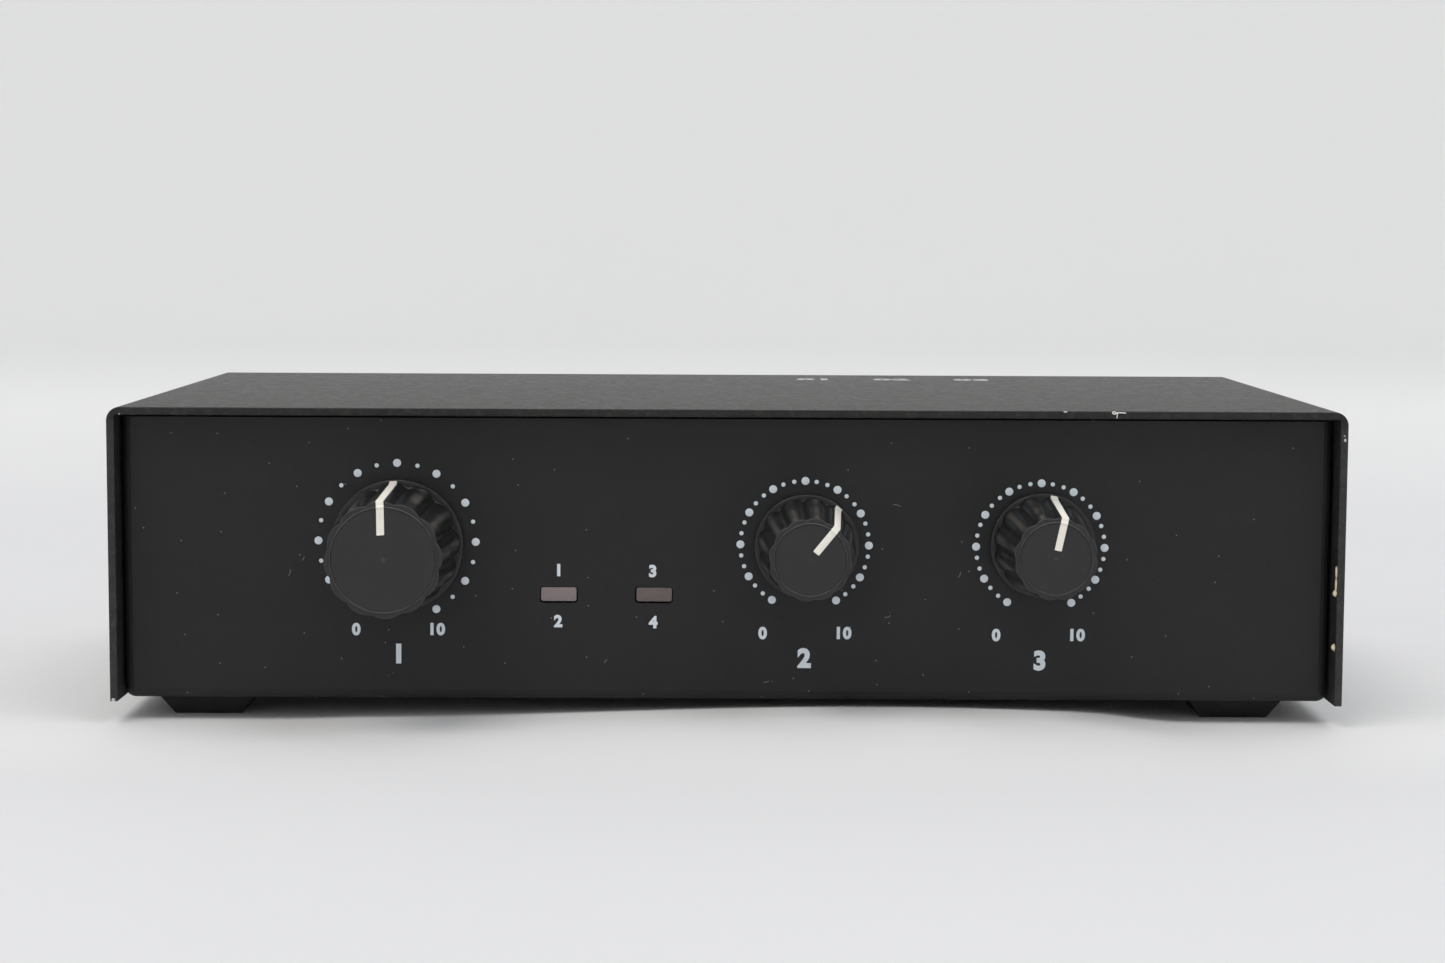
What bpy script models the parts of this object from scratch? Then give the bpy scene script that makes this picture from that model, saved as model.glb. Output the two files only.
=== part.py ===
"""Desktop Morse code keyer: a folded steel case with three fluted knobs and two
lamps in front, a row of sockets behind, and a circuit board inside.

Metres, +Z up, front towards -Y. The origin is under the middle of the whole
object, on the surface that its feet stand on.
"""

import math

import bmesh
import bpy

# Clearances between separate pieces
SEAT_GAP = 0.0003
THREAD_GAP = 0.0001
INLAY_GAP = 0.0001
RUNNING_GAP = 0.00008
OVERRUN = 0.002

# Smoothness of round shapes
ROUND_FACETS = 24
SMALL_FACETS = 16
PIN_FACETS = 8
CORNER_STEPS = 4
BEVEL_PROFILE_SHARE = 0.5
SMOOTH_ANGLE = math.radians(35)

# Sheet metal of the case
CASE_WIDTH = 0.172
CASE_HEIGHT = 0.0412
CASE_DEPTH = 0.0892
SHEET = 0.0011
COVER_OUTER_BEND = 0.0019
COVER_INNER_BEND = 0.0003
CHASSIS_OUTER_BEND = 0.0013
CHASSIS_INNER_BEND = 0.0002
PANEL_RECESS = 0.0032
PANEL_TOP_GAP = 0.00045
FLANGE_DEPTH = 0.014
SILL_HEIGHT = 0.0009

# Rubber feet, each a square block that narrows towards the table
FOOT_HEIGHT = 0.0032
FOOT_TOP = 0.0133
FOOT_BOTTOM = 0.0098
FOOT_EDGE = 0.0002
FOOT_LEFT_INSET = 0.0121
FOOT_RIGHT_INSET = 0.0135
FOOT_FRONT_INSET = 0.0108
FOOT_REAR_INSET = 0.0118

# Pan head screws: four through the cover's sides, four through the board
SCREW_RADIUS = 0.0015
SCREW_LENGTH = 0.0055
SCREW_HEAD_RADIUS = 0.0027
SCREW_HEAD_HEIGHT = 0.0016
SCREW_CROSS_LENGTH = 0.0030
SCREW_CROSS_WIDTH = 0.0007
SCREW_CROSS_DEPTH = 0.0009
COVER_SCREW_HEIGHT_SHARE = 0.5
COVER_SCREW_FLANGE_SHARE = 0.6

# Circuit board on its standoffs
BOARD_THICKNESS = 0.0016
BOARD_SIDE_INSET = 0.0060
BOARD_END_INSET = 0.0026
STANDOFF_HEIGHT = 0.0060
STANDOFF_ACROSS = 0.0055
STANDOFF_PILOT_RADIUS = 0.0021
STANDOFF_THREAD_DEPTH = 0.0048
STANDOFF_INSET = 0.0065
STANDOFF_SOCKET_GAP = 0.0015

# Rotary controls: places across and up the panel, as shares of the case
SPEED_ACROSS_SHARE = -0.2674
SPEED_HEIGHT_SHARE = 0.531
SPEED_REST_ANGLE = math.radians(-4)
COMPUTER_ACROSS_SHARE = 0.0648
COMPUTER_HEIGHT_SHARE = 0.533
COMPUTER_REST_ANGLE = math.radians(39)
RADIO_ACROSS_SHARE = 0.2562
RADIO_HEIGHT_SHARE = 0.540
RADIO_REST_ANGLE = math.radians(12)
HOUSING_WIDTH = 0.0160
HOUSING_HEIGHT = 0.0165
HOUSING_DEPTH = 0.0090
HOUSING_EDGE = 0.0012
HOUSING_WALL = 0.0016
BUSHING_RADIUS = 0.0035
BUSHING_REACH = 0.0036
SHAFT_RADIUS = 0.0030
SHAFT_FLAT_DEPTH = 0.0008
SHAFT_FLAT_LENGTH = 0.0085
SHAFT_TIP_WALL = 0.0022
WIPER_RADIUS = 0.0056
WIPER_THICKNESS = 0.0020
CONTROL_PIN_WIDTH = 0.0009
CONTROL_PIN_PITCH = 0.0050
WASHER_RADIUS = 0.0050
WASHER_THICKNESS = 0.0005
NUT_ACROSS = 0.0085
NUT_THICKNESS = 0.0020

# Knobs: twelve lobes, a thin round skirt behind and a flat face in front
KNOB_LOBES = 12
POINTS_PER_LOBE = 6
KNOB_STANDOFF = 0.0008
SKIRT_THICKNESS = 0.0009
KNOB_WALL = 0.0007
KNOB_CHAMFER = 0.0005
KNOB_REACHES = {"speed": 0.0188, "computer": 0.0172, "radio": 0.0172}
SKIRT_RADII = {"speed": 0.00906, "computer": 0.00715, "radio": 0.00715}
LOBE_BASE_RADII = {"speed": 0.00865, "computer": 0.00675, "radio": 0.00675}
LOBE_FACE_RADII = {"speed": 0.00796, "computer": 0.00576, "radio": 0.00576}
FACE_RADII = {"speed": 0.00710, "computer": 0.00503, "radio": 0.00503}
FLUTE_DEPTHS = {"speed": 0.00060, "computer": 0.00042, "radio": 0.00042}
POINTER_WIDTHS = {"speed": 0.0012, "computer": 0.0010, "radio": 0.0010}
POINTER_STARTS = {"speed": 0.0032, "computer": 0.00145, "radio": 0.00145}
POINTER_THICKNESS = 0.0006
POINTER_PROUD = 0.00004

# Status lamps
LEFT_LAMP_ACROSS_SHARE = -0.1370
RIGHT_LAMP_ACROSS_SHARE = -0.0594
LAMP_HEIGHT_SHARE = 0.361
LAMP_WIDTH = 0.0050
LAMP_HEIGHT = 0.0020
LAMP_CORNER = 0.0003
LAMP_LENGTH = 0.0068
LAMP_RECESS = 0.00005
LAMP_HOLE_GAP = 0.00016
LAMP_BASE_BRIM = 0.0004
LAMP_BASE_LENGTH = 0.0014
LEAD_WIDTH = 0.0005
LEAD_PITCH = 0.00254
LEAD_SETBACK = 0.0016

# Sockets in the rear panel, from its end at -X: the gap before each one, as a
# share of the width that the sockets leave free
REAR_ROW = (
    "ground",
    "power",
    "audio_out",
    "audio_in",
    "usb",
    "radio",
    "phono_inner",
    "phono_middle",
    "phono_outer",
    "paddle",
)
REAR_GAP_SHARES = (0.034, 0.029, 0.0485, 0.0485, 0.0437, 0.0437, 0.0427, 0.0947, 0.0947, 0.1442)
PHONO_SPOTS = ("inner", "middle", "outer")
AUDIO_NAMES = ("audio_in", "audio_out")

PHONO_BODY_WIDTH = 0.0098
PHONO_BODY_HEIGHT = 0.0120
PHONO_BODY_DEPTH = 0.0110
PHONO_BARREL_RADIUS = 0.00415
PHONO_BARREL_WALL = 0.0006
PHONO_REACH = 0.0095
PHONO_RIM = 0.0010
PHONO_PIN_HOLE_RADIUS = 0.0016
PHONO_PIN_HOLE_DEPTH = 0.0080

PADDLE_BODY_WIDTH = 0.0160
PADDLE_BODY_HEIGHT = 0.0160
PADDLE_BODY_DEPTH = 0.0240
PADDLE_NOSE_RADIUS = 0.0047
PADDLE_REACH = 0.0034
PADDLE_BORE_RADIUS = 0.0033
PADDLE_BORE_DEPTH = 0.0230
PADDLE_NUT_ACROSS = 0.0127
PADDLE_NUT_THICKNESS = 0.0021

RADIO_SHELL_WIDTH = 0.0250
RADIO_SHELL_HEIGHT = 0.0083
RADIO_SHELL_CORNER = 0.0022
RADIO_SHELL_SLANT = 0.0008
RADIO_REACH = 0.0044
RADIO_FLANGE_WIDTH = 0.0390
RADIO_FLANGE_HEIGHT = 0.0122
RADIO_FLANGE_THICKNESS = 0.0010
RADIO_BODY_WIDTH = 0.0270
RADIO_BODY_HEIGHT = 0.0104
RADIO_BODY_DEPTH = 0.0085
RADIO_CONTACT_COUNTS = (7, 8)
RADIO_CONTACT_PITCH = 0.00277
RADIO_ROW_PITCH = 0.00284
RADIO_CONTACT_RADIUS = 0.0005
RADIO_CONTACT_DEPTH = 0.0030
RADIO_SCREW_SPACING = 0.0333
JACK_SCREW_ACROSS = 0.0047
JACK_SCREW_LENGTH = 0.0050
JACK_SCREW_STUD_RADIUS = 0.0013
JACK_SCREW_STUD_LENGTH = 0.0040
JACK_SCREW_HOLE_RADIUS = 0.0012
JACK_SCREW_HOLE_DEPTH = 0.0036

USB_WIDTH = 0.0120
USB_HEIGHT = 0.0110
USB_DEPTH = 0.0165
USB_REACH = 0.0006
USB_PORT_WIDTH = 0.00845
USB_PORT_HEIGHT = 0.0078
USB_PORT_DEPTH = 0.0090
USB_PORT_CHAMFER = 0.0015
USB_TONGUE_WIDTH = 0.0056
USB_TONGUE_HEIGHT = 0.0032
USB_TONGUE_RECESS = 0.0008

AUDIO_BODY_WIDTH = 0.0066
AUDIO_BODY_HEIGHT = 0.0070
AUDIO_BODY_DEPTH = 0.0125
AUDIO_NOSE_RADIUS = 0.0029
AUDIO_REACH = 0.0006
AUDIO_BORE_RADIUS = 0.0018
AUDIO_BORE_DEPTH = 0.0115

POWER_BODY_WIDTH = 0.0078
POWER_BODY_HEIGHT = 0.0110
POWER_BODY_DEPTH = 0.0140
POWER_NOSE_RADIUS = 0.0037
POWER_REACH = 0.0006
POWER_BORE_RADIUS = 0.0029
POWER_BORE_DEPTH = 0.0095
POWER_PIN_RADIUS = 0.00105
POWER_PIN_RECESS = 0.0008

GROUND_HEIGHT_SHARE = 0.40
GROUND_STUD_RADIUS = 0.0020
GROUND_STUD_REACH = 0.0090
GROUND_HEAD_RADIUS = 0.0034
GROUND_HEAD_HEIGHT = 0.0020
GROUND_NUT_RADIUS = 0.0042
GROUND_NUT_THICKNESS = 0.0048
GROUND_NUT_CHAMFER = 0.0005

# Parts on the board: places as shares of its width and depth, from its middle
CONTROLLER_ACROSS_SHARE = 0.02
CONTROLLER_ALONG_SHARE = 0.04
USB_CHIP_ACROSS_SHARE = -0.24
USB_CHIP_ALONG_SHARE = 0.10
COMPUTER_TRANSFORMER_ACROSS_SHARE = 0.17
RADIO_TRANSFORMER_ACROSS_SHARE = 0.30
TRANSFORMER_ALONG_SHARE = -0.07
RELAY_ACROSS_SHARE = 0.24
RELAY_ALONG_SHARE = 0.13
CAPACITOR_ACROSS_SHARE = -0.38
CAPACITOR_ALONG_SHARE = 0.02
CRYSTAL_ACROSS_SHARE = -0.13
CRYSTAL_ALONG_SHARE = -0.05
CONTROLLER_SIDE = 0.0120
CONTROLLER_HEIGHT = 0.0024
CONTROLLER_LEADS = 9
USB_CHIP_LENGTH = 0.0180
USB_CHIP_WIDTH = 0.0075
USB_CHIP_HEIGHT = 0.0024
USB_CHIP_LEADS = 12
CHIP_STANDOFF = 0.0002
CHIP_EDGE = 0.0003
CHIP_LEAD_REACH = 0.0014
CHIP_LEAD_THICKNESS = 0.0004
CHIP_LEAD_SHARE = 0.4
TRANSFORMER_CORE_WIDTH = 0.0130
TRANSFORMER_CORE_DEPTH = 0.0060
TRANSFORMER_CORE_HEIGHT = 0.0115
TRANSFORMER_COIL_WIDTH = 0.0092
TRANSFORMER_COIL_DEPTH = 0.0115
TRANSFORMER_COIL_HEIGHT = 0.0080
TRANSFORMER_EDGE = 0.0004
RELAY_LENGTH = 0.0200
RELAY_WIDTH = 0.0100
RELAY_HEIGHT = 0.0105
RELAY_EDGE = 0.0006
CAPACITOR_RADIUS = 0.0050
CAPACITOR_HEIGHT = 0.0115
CAPACITOR_EDGE = 0.0006
CAPACITOR_GROOVE = 0.0005
CAPACITOR_GROOVE_HEIGHT = 0.0016
CRYSTAL_LENGTH = 0.0110
CRYSTAL_WIDTH = 0.0045
CRYSTAL_HEIGHT = 0.0035
CRYSTAL_BRIM = 0.0004
CRYSTAL_BRIM_HEIGHT = 0.0006

# Colour, roughness and metallic value of each finish
FINISHES = {
    "powder_coat": ((0.030, 0.031, 0.033, 1), 0.62, 0.0),
    "panel_paint": ((0.020, 0.020, 0.022, 1), 0.48, 0.0),
    "rubber": ((0.012, 0.012, 0.013, 1), 0.80, 0.0),
    "black_plastic": ((0.018, 0.018, 0.020, 1), 0.45, 0.0),
    "cream_plastic": ((0.80, 0.77, 0.68, 1), 0.45, 0.0),
    "lamp_lens": ((0.17, 0.13, 0.13, 1), 0.40, 0.0),
    "nickel": ((0.62, 0.60, 0.56, 1), 0.25, 1.0),
    "zinc": ((0.55, 0.56, 0.58, 1), 0.35, 1.0),
    "brass": ((0.65, 0.48, 0.20, 1), 0.30, 1.0),
    "black_screw": ((0.025, 0.025, 0.026, 1), 0.40, 0.6),
    "circuit_board": ((0.020, 0.110, 0.045, 1), 0.40, 0.0),
    "blue_plastic": ((0.030, 0.080, 0.300, 1), 0.40, 0.0),
    "aluminium": ((0.70, 0.71, 0.73, 1), 0.30, 1.0),
    "ferrite": ((0.090, 0.085, 0.080, 1), 0.55, 0.2),
}

# Turns that point a piece's own +Z out of each side of the case
FACING_FRONT = (math.pi / 2, 0, 0)
FACING_REAR = (math.pi / 2, 0, math.pi)
FACING_LEFT = (0, -math.pi / 2, 0)
FACING_RIGHT = (0, math.pi / 2, 0)
FACING_UP = (0, 0, 0)

# Places worked out from the sizes above
CHASSIS_DEPTH = CASE_DEPTH - 2 * PANEL_RECESS
CHASSIS_WIDTH = CASE_WIDTH - 2 * SHEET - 2 * SEAT_GAP
CHASSIS_HEIGHT = CASE_HEIGHT - SHEET - PANEL_TOP_GAP
FRONT_REACH = max(KNOB_REACHES.values()) + POINTER_PROUD
REAR_REACH = CHASSIS_DEPTH + PHONO_REACH
PANEL_Y = (FRONT_REACH - REAR_REACH) / 2
PANEL_BACK_Y = PANEL_Y + SHEET
REAR_Y = PANEL_Y + CHASSIS_DEPTH
REAR_INNER_Y = REAR_Y - SHEET
CASE_Z = FOOT_HEIGHT
FLOOR_Z = CASE_Z + SHEET
STANDOFF_TOP_Z = FLOOR_Z + SEAT_GAP + STANDOFF_HEIGHT
BOARD_Z = STANDOFF_TOP_Z + SEAT_GAP
BOARD_TOP_Z = BOARD_Z + BOARD_THICKNESS
BOARD_WIDTH = CHASSIS_WIDTH - 2 * BOARD_SIDE_INSET
BOARD_FRONT_Y = PANEL_BACK_Y + BOARD_END_INSET
BOARD_REAR_Y = REAR_INNER_Y - BOARD_END_INSET
BOARD_DEPTH = BOARD_REAR_Y - BOARD_FRONT_Y
BOARD_MIDDLE_Y = (BOARD_FRONT_Y + BOARD_REAR_Y) / 2
INSIDE = -SHEET - SEAT_GAP
REAR_WIDTHS = {
    "ground": 2 * GROUND_NUT_RADIUS,
    "power": POWER_BODY_WIDTH,
    "audio_out": AUDIO_BODY_WIDTH,
    "audio_in": AUDIO_BODY_WIDTH,
    "usb": USB_WIDTH,
    "radio": RADIO_FLANGE_WIDTH,
    "phono_inner": PHONO_BODY_WIDTH,
    "phono_middle": PHONO_BODY_WIDTH,
    "phono_outer": PHONO_BODY_WIDTH,
    "paddle": PADDLE_BODY_WIDTH,
}
CONTROL_SHARES = {
    "speed": (SPEED_ACROSS_SHARE, SPEED_HEIGHT_SHARE),
    "computer": (COMPUTER_ACROSS_SHARE, COMPUTER_HEIGHT_SHARE),
    "radio": (RADIO_ACROSS_SHARE, RADIO_HEIGHT_SHARE),
}
REST_ANGLES = {"speed": SPEED_REST_ANGLE, "computer": COMPUTER_REST_ANGLE, "radio": RADIO_REST_ANGLE}
LAMP_SHARES = {"left": LEFT_LAMP_ACROSS_SHARE, "right": RIGHT_LAMP_ACROSS_SHARE}
BOARD_SHARES = {
    "microcontroller": (CONTROLLER_ACROSS_SHARE, CONTROLLER_ALONG_SHARE),
    "usb_chip": (USB_CHIP_ACROSS_SHARE, USB_CHIP_ALONG_SHARE),
    "computer_transformer": (COMPUTER_TRANSFORMER_ACROSS_SHARE, TRANSFORMER_ALONG_SHARE),
    "radio_transformer": (RADIO_TRANSFORMER_ACROSS_SHARE, TRANSFORMER_ALONG_SHARE),
    "keying_relay": (RELAY_ACROSS_SHARE, RELAY_ALONG_SHARE),
    "filter_capacitor": (CAPACITOR_ACROSS_SHARE, CAPACITOR_ALONG_SHARE),
    "crystal": (CRYSTAL_ACROSS_SHARE, CRYSTAL_ALONG_SHARE),
}


def clear_scene():
    for obj in list(bpy.data.objects):
        bpy.data.objects.remove(obj, do_unlink=True)


def finish(obj, kind):
    """Gives the object a material of its own in one of the finishes."""
    colour, roughness, metallic = FINISHES[kind]
    material = bpy.data.materials.new(obj.name)
    material.use_nodes = True
    surface = material.node_tree.nodes["Principled BSDF"]
    surface.inputs["Base Color"].default_value = colour
    surface.inputs["Roughness"].default_value = roughness
    surface.inputs["Metallic"].default_value = metallic
    obj.data.materials.append(material)
    return obj


def make_object(name, bm, place=(0, 0, 0), turn=FACING_UP):
    """Turns an edit mesh into an object, with its faces pointing out."""
    bmesh.ops.recalc_face_normals(bm, faces=bm.faces)
    mesh = bpy.data.meshes.new(name)
    bm.to_mesh(mesh)
    bm.free()
    mesh.shade_smooth()
    mesh.set_sharp_from_angle(angle=SMOOTH_ANGLE)
    obj = bpy.data.objects.new(name, mesh)
    obj.location = place
    obj.rotation_euler = turn
    bpy.context.collection.objects.link(obj)
    return obj


def combine(obj, tool, operation):
    """Joins a helper shape to the object, or cuts it away, and hides the helper."""
    tool.hide_render = True
    tool.display_type = "WIRE"
    tool.parent = obj.parent
    modifier = obj.modifiers.new(tool.name, "BOOLEAN")
    modifier.solver = "EXACT"
    modifier.operation = operation
    modifier.object = tool
    return obj


def join(obj, tool):
    return combine(obj, tool, "UNION")


def cut(obj, tool):
    return combine(obj, tool, "DIFFERENCE")


def prism(name, outline, start, end, place=(0, 0, 0), turn=FACING_UP):
    """An outline in the piece's own XY plane, extruded from start to end along Z."""
    bm = bmesh.new()
    base = [bm.verts.new((x, y, start)) for x, y in outline]
    top = [bm.verts.new((x, y, end)) for x, y in outline]
    bm.faces.new(base)
    bm.faces.new(top)
    for index in range(len(outline)):
        after = (index + 1) % len(outline)
        bm.faces.new((base[index], base[after], top[after], top[index]))
    return make_object(name, bm, place, turn)


def turned(name, profile, facets, place=(0, 0, 0), turn=FACING_UP):
    """A profile of (radius, distance) points, turned about the piece's own Z.

    A profile that starts and ends on the axis is solid, and any other is a ring.
    """
    bm = bmesh.new()
    rings = []
    for radius, distance in profile:
        if radius == 0:
            rings.append([bm.verts.new((0, 0, distance))] * facets)
            continue
        ring = []
        for step in range(facets):
            angle = 2 * math.pi * step / facets
            ring.append(bm.verts.new((radius * math.cos(angle), radius * math.sin(angle), distance)))
        rings.append(ring)
    pairs = list(zip(rings, rings[1:]))
    if profile[0][0] > 0:
        pairs.append((rings[-1], rings[0]))
    for lower, upper in pairs:
        for step in range(facets):
            after = (step + 1) % facets
            corners = [lower[step], lower[after], upper[after], upper[step]]
            bm.faces.new(list(dict.fromkeys(corners)))
    return make_object(name, bm, place, turn)


def rod(name, radius, start, end, facets, place=(0, 0, 0), turn=FACING_UP):
    return turned(name, [(0, start), (radius, start), (radius, end), (0, end)], facets, place, turn)


def rectangle(width, height, x=0, y=0):
    left, right = x - width / 2, x + width / 2
    low, high = y - height / 2, y + height / 2
    return [(left, low), (right, low), (right, high), (left, high)]


def rounded(corners, radii):
    """An outline through the corners, each drawn as an arc of its own radius."""
    outline = []
    for index, (x, y) in enumerate(corners):
        radius = radii[index]
        before = corners[index - 1]
        after = corners[(index + 1) % len(corners)]
        into = math.atan2(y - before[1], x - before[0])
        out = math.atan2(after[1] - y, after[0] - x)
        bend = (out - into + math.pi) % (2 * math.pi) - math.pi
        if radius == 0:
            outline.append((x, y))
            continue
        back = radius * math.tan(abs(bend) / 2)
        side = math.copysign(1, bend)
        start_x, start_y = x - back * math.cos(into), y - back * math.sin(into)
        centre_x = start_x - side * radius * math.sin(into)
        centre_y = start_y + side * radius * math.cos(into)
        for step in range(CORNER_STEPS + 1):
            angle = into + bend * step / CORNER_STEPS
            corner_x = centre_x + side * radius * math.sin(angle)
            corner_y = centre_y - side * radius * math.cos(angle)
            outline.append((corner_x, corner_y))
    return outline


def rounded_rectangle(width, height, radius, x=0, y=0):
    return rounded(rectangle(width, height, x, y), [radius] * 4)


def hexagon(across):
    radius = across / 2 / math.cos(math.pi / 6)
    angles = [math.pi * side / 3 for side in range(6)]
    return [(radius * math.cos(angle), radius * math.sin(angle)) for angle in angles]


def d_outline(width, height, slant, radius):
    """The outline of a D-shaped connector, wider at the top, with round corners."""
    top, bottom = width / 2, width / 2 - slant
    corners = [(-bottom, -height / 2), (bottom, -height / 2), (top, height / 2), (-top, height / 2)]
    return rounded(corners, [radius] * 4)


def block(name, low, high):
    """A plain block between two opposite corners of the object's own frame."""
    middle = [(a + b) / 2 for a, b in zip(low, high)]
    outline = rectangle(high[0] - low[0], high[1] - low[1])
    return prism(name, outline, low[2] - middle[2], high[2] - middle[2], middle)


def soft_block(name, low, high, radius, edges_wanted):
    """A block between two opposite corners, with its chosen edges rounded."""
    bm = bmesh.new()
    (left, near, bottom), (right, far, top) = low, high
    plan = [(left, near), (right, near), (right, far), (left, far)]
    rings = [[bm.verts.new((x, y, z)) for x, y in plan] for z in (bottom, top)]
    for ring in rings:
        bm.faces.new(ring)
    for side in range(len(plan)):
        after = (side + 1) % len(plan)
        bm.faces.new((rings[0][side], rings[0][after], rings[1][after], rings[1][side]))
    edges = [edge for edge in bm.edges if edges_wanted(edge)]
    bmesh.ops.bevel(
        bm,
        geom=edges,
        offset=radius,
        segments=CORNER_STEPS,
        profile=BEVEL_PROFILE_SHARE,
        affect="EDGES",
    )
    return make_object(name, bm)


def control_place(name):
    across, up = CONTROL_SHARES[name]
    return (CASE_WIDTH * across, PANEL_Y, CASE_Z + CASE_HEIGHT * up)


def lamp_place(side):
    return (CASE_WIDTH * LAMP_SHARES[side], PANEL_Y, CASE_Z + CASE_HEIGHT * LAMP_HEIGHT_SHARE)


def rear_across(name):
    """A socket's place across the rear panel, in a row that shares out what is free."""
    inner_width = CHASSIS_WIDTH - 2 * SHEET
    free = inner_width - sum(REAR_WIDTHS.values())
    across = -inner_width / 2
    for other, gap_share in zip(REAR_ROW, REAR_GAP_SHARES):
        across += free * gap_share
        if other == name:
            return across + REAR_WIDTHS[name] / 2
        across += REAR_WIDTHS[other]
    return across


def rear_place(name, body_height):
    """The rear panel's outer face, where a socket body stands on the board."""
    return (rear_across(name), REAR_Y, BOARD_TOP_Z + SEAT_GAP + body_height / 2)


def board_place(name):
    across, along = BOARD_SHARES[name]
    return (BOARD_WIDTH * across, BOARD_MIDDLE_Y + BOARD_DEPTH * along, BOARD_TOP_Z + SEAT_GAP)


def cover_screw_places():
    """Each cover screw's name, place on the cover's outer face, and direction."""
    height = CASE_Z + CASE_HEIGHT * COVER_SCREW_HEIGHT_SHARE
    setback = SHEET + FLANGE_DEPTH * COVER_SCREW_FLANGE_SHARE
    ends = {"front": PANEL_Y + setback, "rear": REAR_Y - setback}
    sides = {"left": (-CASE_WIDTH / 2, FACING_LEFT), "right": (CASE_WIDTH / 2, FACING_RIGHT)}
    return [
        (f"{end}_{side}", (x, y, height), turn)
        for end, y in ends.items()
        for side, (x, turn) in sides.items()
    ]


def standoff_places():
    reach_x = BOARD_WIDTH / 2 - STANDOFF_INSET
    deepest = REAR_INNER_Y - SEAT_GAP - PADDLE_BODY_DEPTH
    ends = {
        "front": BOARD_FRONT_Y + STANDOFF_INSET,
        "rear": deepest - STANDOFF_SOCKET_GAP - SCREW_HEAD_RADIUS,
    }
    sides = {"left": -reach_x, "right": reach_x}
    return [(f"{end}_{side}", x, y) for end, y in ends.items() for side, x in sides.items()]


def hole(obj, name, radius, place, turn, facets=ROUND_FACETS):
    """A round hole through one sheet, from outside the place to behind it."""
    return cut(obj, rod(name, radius, -SHEET - OVERRUN, OVERRUN, facets, place, turn))


def shaped_hole(obj, name, outline, place, turn):
    return cut(obj, prism(name, outline, -SHEET - OVERRUN, OVERRUN, place, turn))


def make_cover():
    """The top and two sides, one sheet bent down twice."""
    half, low, high = CASE_WIDTH / 2, 0, CASE_HEIGHT
    corners = [
        (-half, low),
        (-half + SHEET, low),
        (-half + SHEET, high - SHEET),
        (half - SHEET, high - SHEET),
        (half - SHEET, low),
        (half, low),
        (half, high),
        (-half, high),
    ]
    radii = [0, 0, COVER_INNER_BEND, COVER_INNER_BEND, 0, 0, COVER_OUTER_BEND, COVER_OUTER_BEND]
    place = (0, PANEL_Y - PANEL_RECESS, CASE_Z)
    cover = prism("cover", rounded(corners, radii), -CASE_DEPTH, 0, place, FACING_FRONT)
    for spot, screw_place, turn in cover_screw_places():
        hole(cover, f"cover_hole_{spot}", SCREW_RADIUS + SEAT_GAP, screw_place, turn)
    return finish(cover, "powder_coat")


def is_bend(edge):
    """True for a tray block's four upright edges and the four under it."""
    start, end = (vert.co for vert in edge.verts)
    upright = abs(start.z - end.z) > SHEET
    top = max(vert.co.z for face in edge.link_faces for vert in face.verts)
    return upright or max(start.z, end.z) < top - SHEET


def make_chassis():
    """Floor, front panel and rear panel in one folded sheet.

    Its sides are flanges at the corners, with a low sill between them.
    """
    half = CHASSIS_WIDTH / 2
    top = CASE_Z + CHASSIS_HEIGHT
    low, high = (-half, PANEL_Y, CASE_Z), (half, REAR_Y, top)
    chassis = soft_block("chassis", low, high, CHASSIS_OUTER_BEND, is_bend)
    inner_low = (-half + SHEET, PANEL_BACK_Y, FLOOR_Z)
    inner_high = (half - SHEET, REAR_INNER_Y, top + OVERRUN)
    cut(chassis, soft_block("chassis_hollow", inner_low, inner_high, CHASSIS_INNER_BEND, is_bend))
    flange_front = PANEL_Y + FLANGE_DEPTH
    flange_rear = REAR_Y - FLANGE_DEPTH
    wide = half + OVERRUN
    sill = FLOOR_Z + SILL_HEIGHT
    cut(chassis, block("side_windows", (-wide, flange_front, sill), (wide, flange_rear, top + OVERRUN)))
    cut_front_panel(chassis)
    cut_rear_panel(chassis)
    for spot, place, turn in cover_screw_places():
        inward = math.copysign(SHEET + SEAT_GAP, place[0])
        flange_place = (place[0] - inward, place[1], place[2])
        hole(chassis, f"flange_hole_{spot}", SCREW_RADIUS + THREAD_GAP, flange_place, turn)
    for spot, x, y in standoff_places():
        radius = STANDOFF_PILOT_RADIUS + SEAT_GAP
        hole(chassis, f"standoff_hole_{spot}", radius, (x, y, FLOOR_Z), FACING_UP)
    return finish(chassis, "panel_paint")


def cut_front_panel(chassis):
    for name in KNOB_REACHES:
        hole(chassis, f"{name}_hole", BUSHING_RADIUS + SEAT_GAP, control_place(name), FACING_FRONT)
    width = LAMP_WIDTH + 2 * LAMP_HOLE_GAP
    height = LAMP_HEIGHT + 2 * LAMP_HOLE_GAP
    outline = rounded_rectangle(width, height, LAMP_CORNER + LAMP_HOLE_GAP)
    for side in LAMP_SHARES:
        shaped_hole(chassis, f"{side}_lamp_hole", outline, lamp_place(side), FACING_FRONT)


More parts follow.
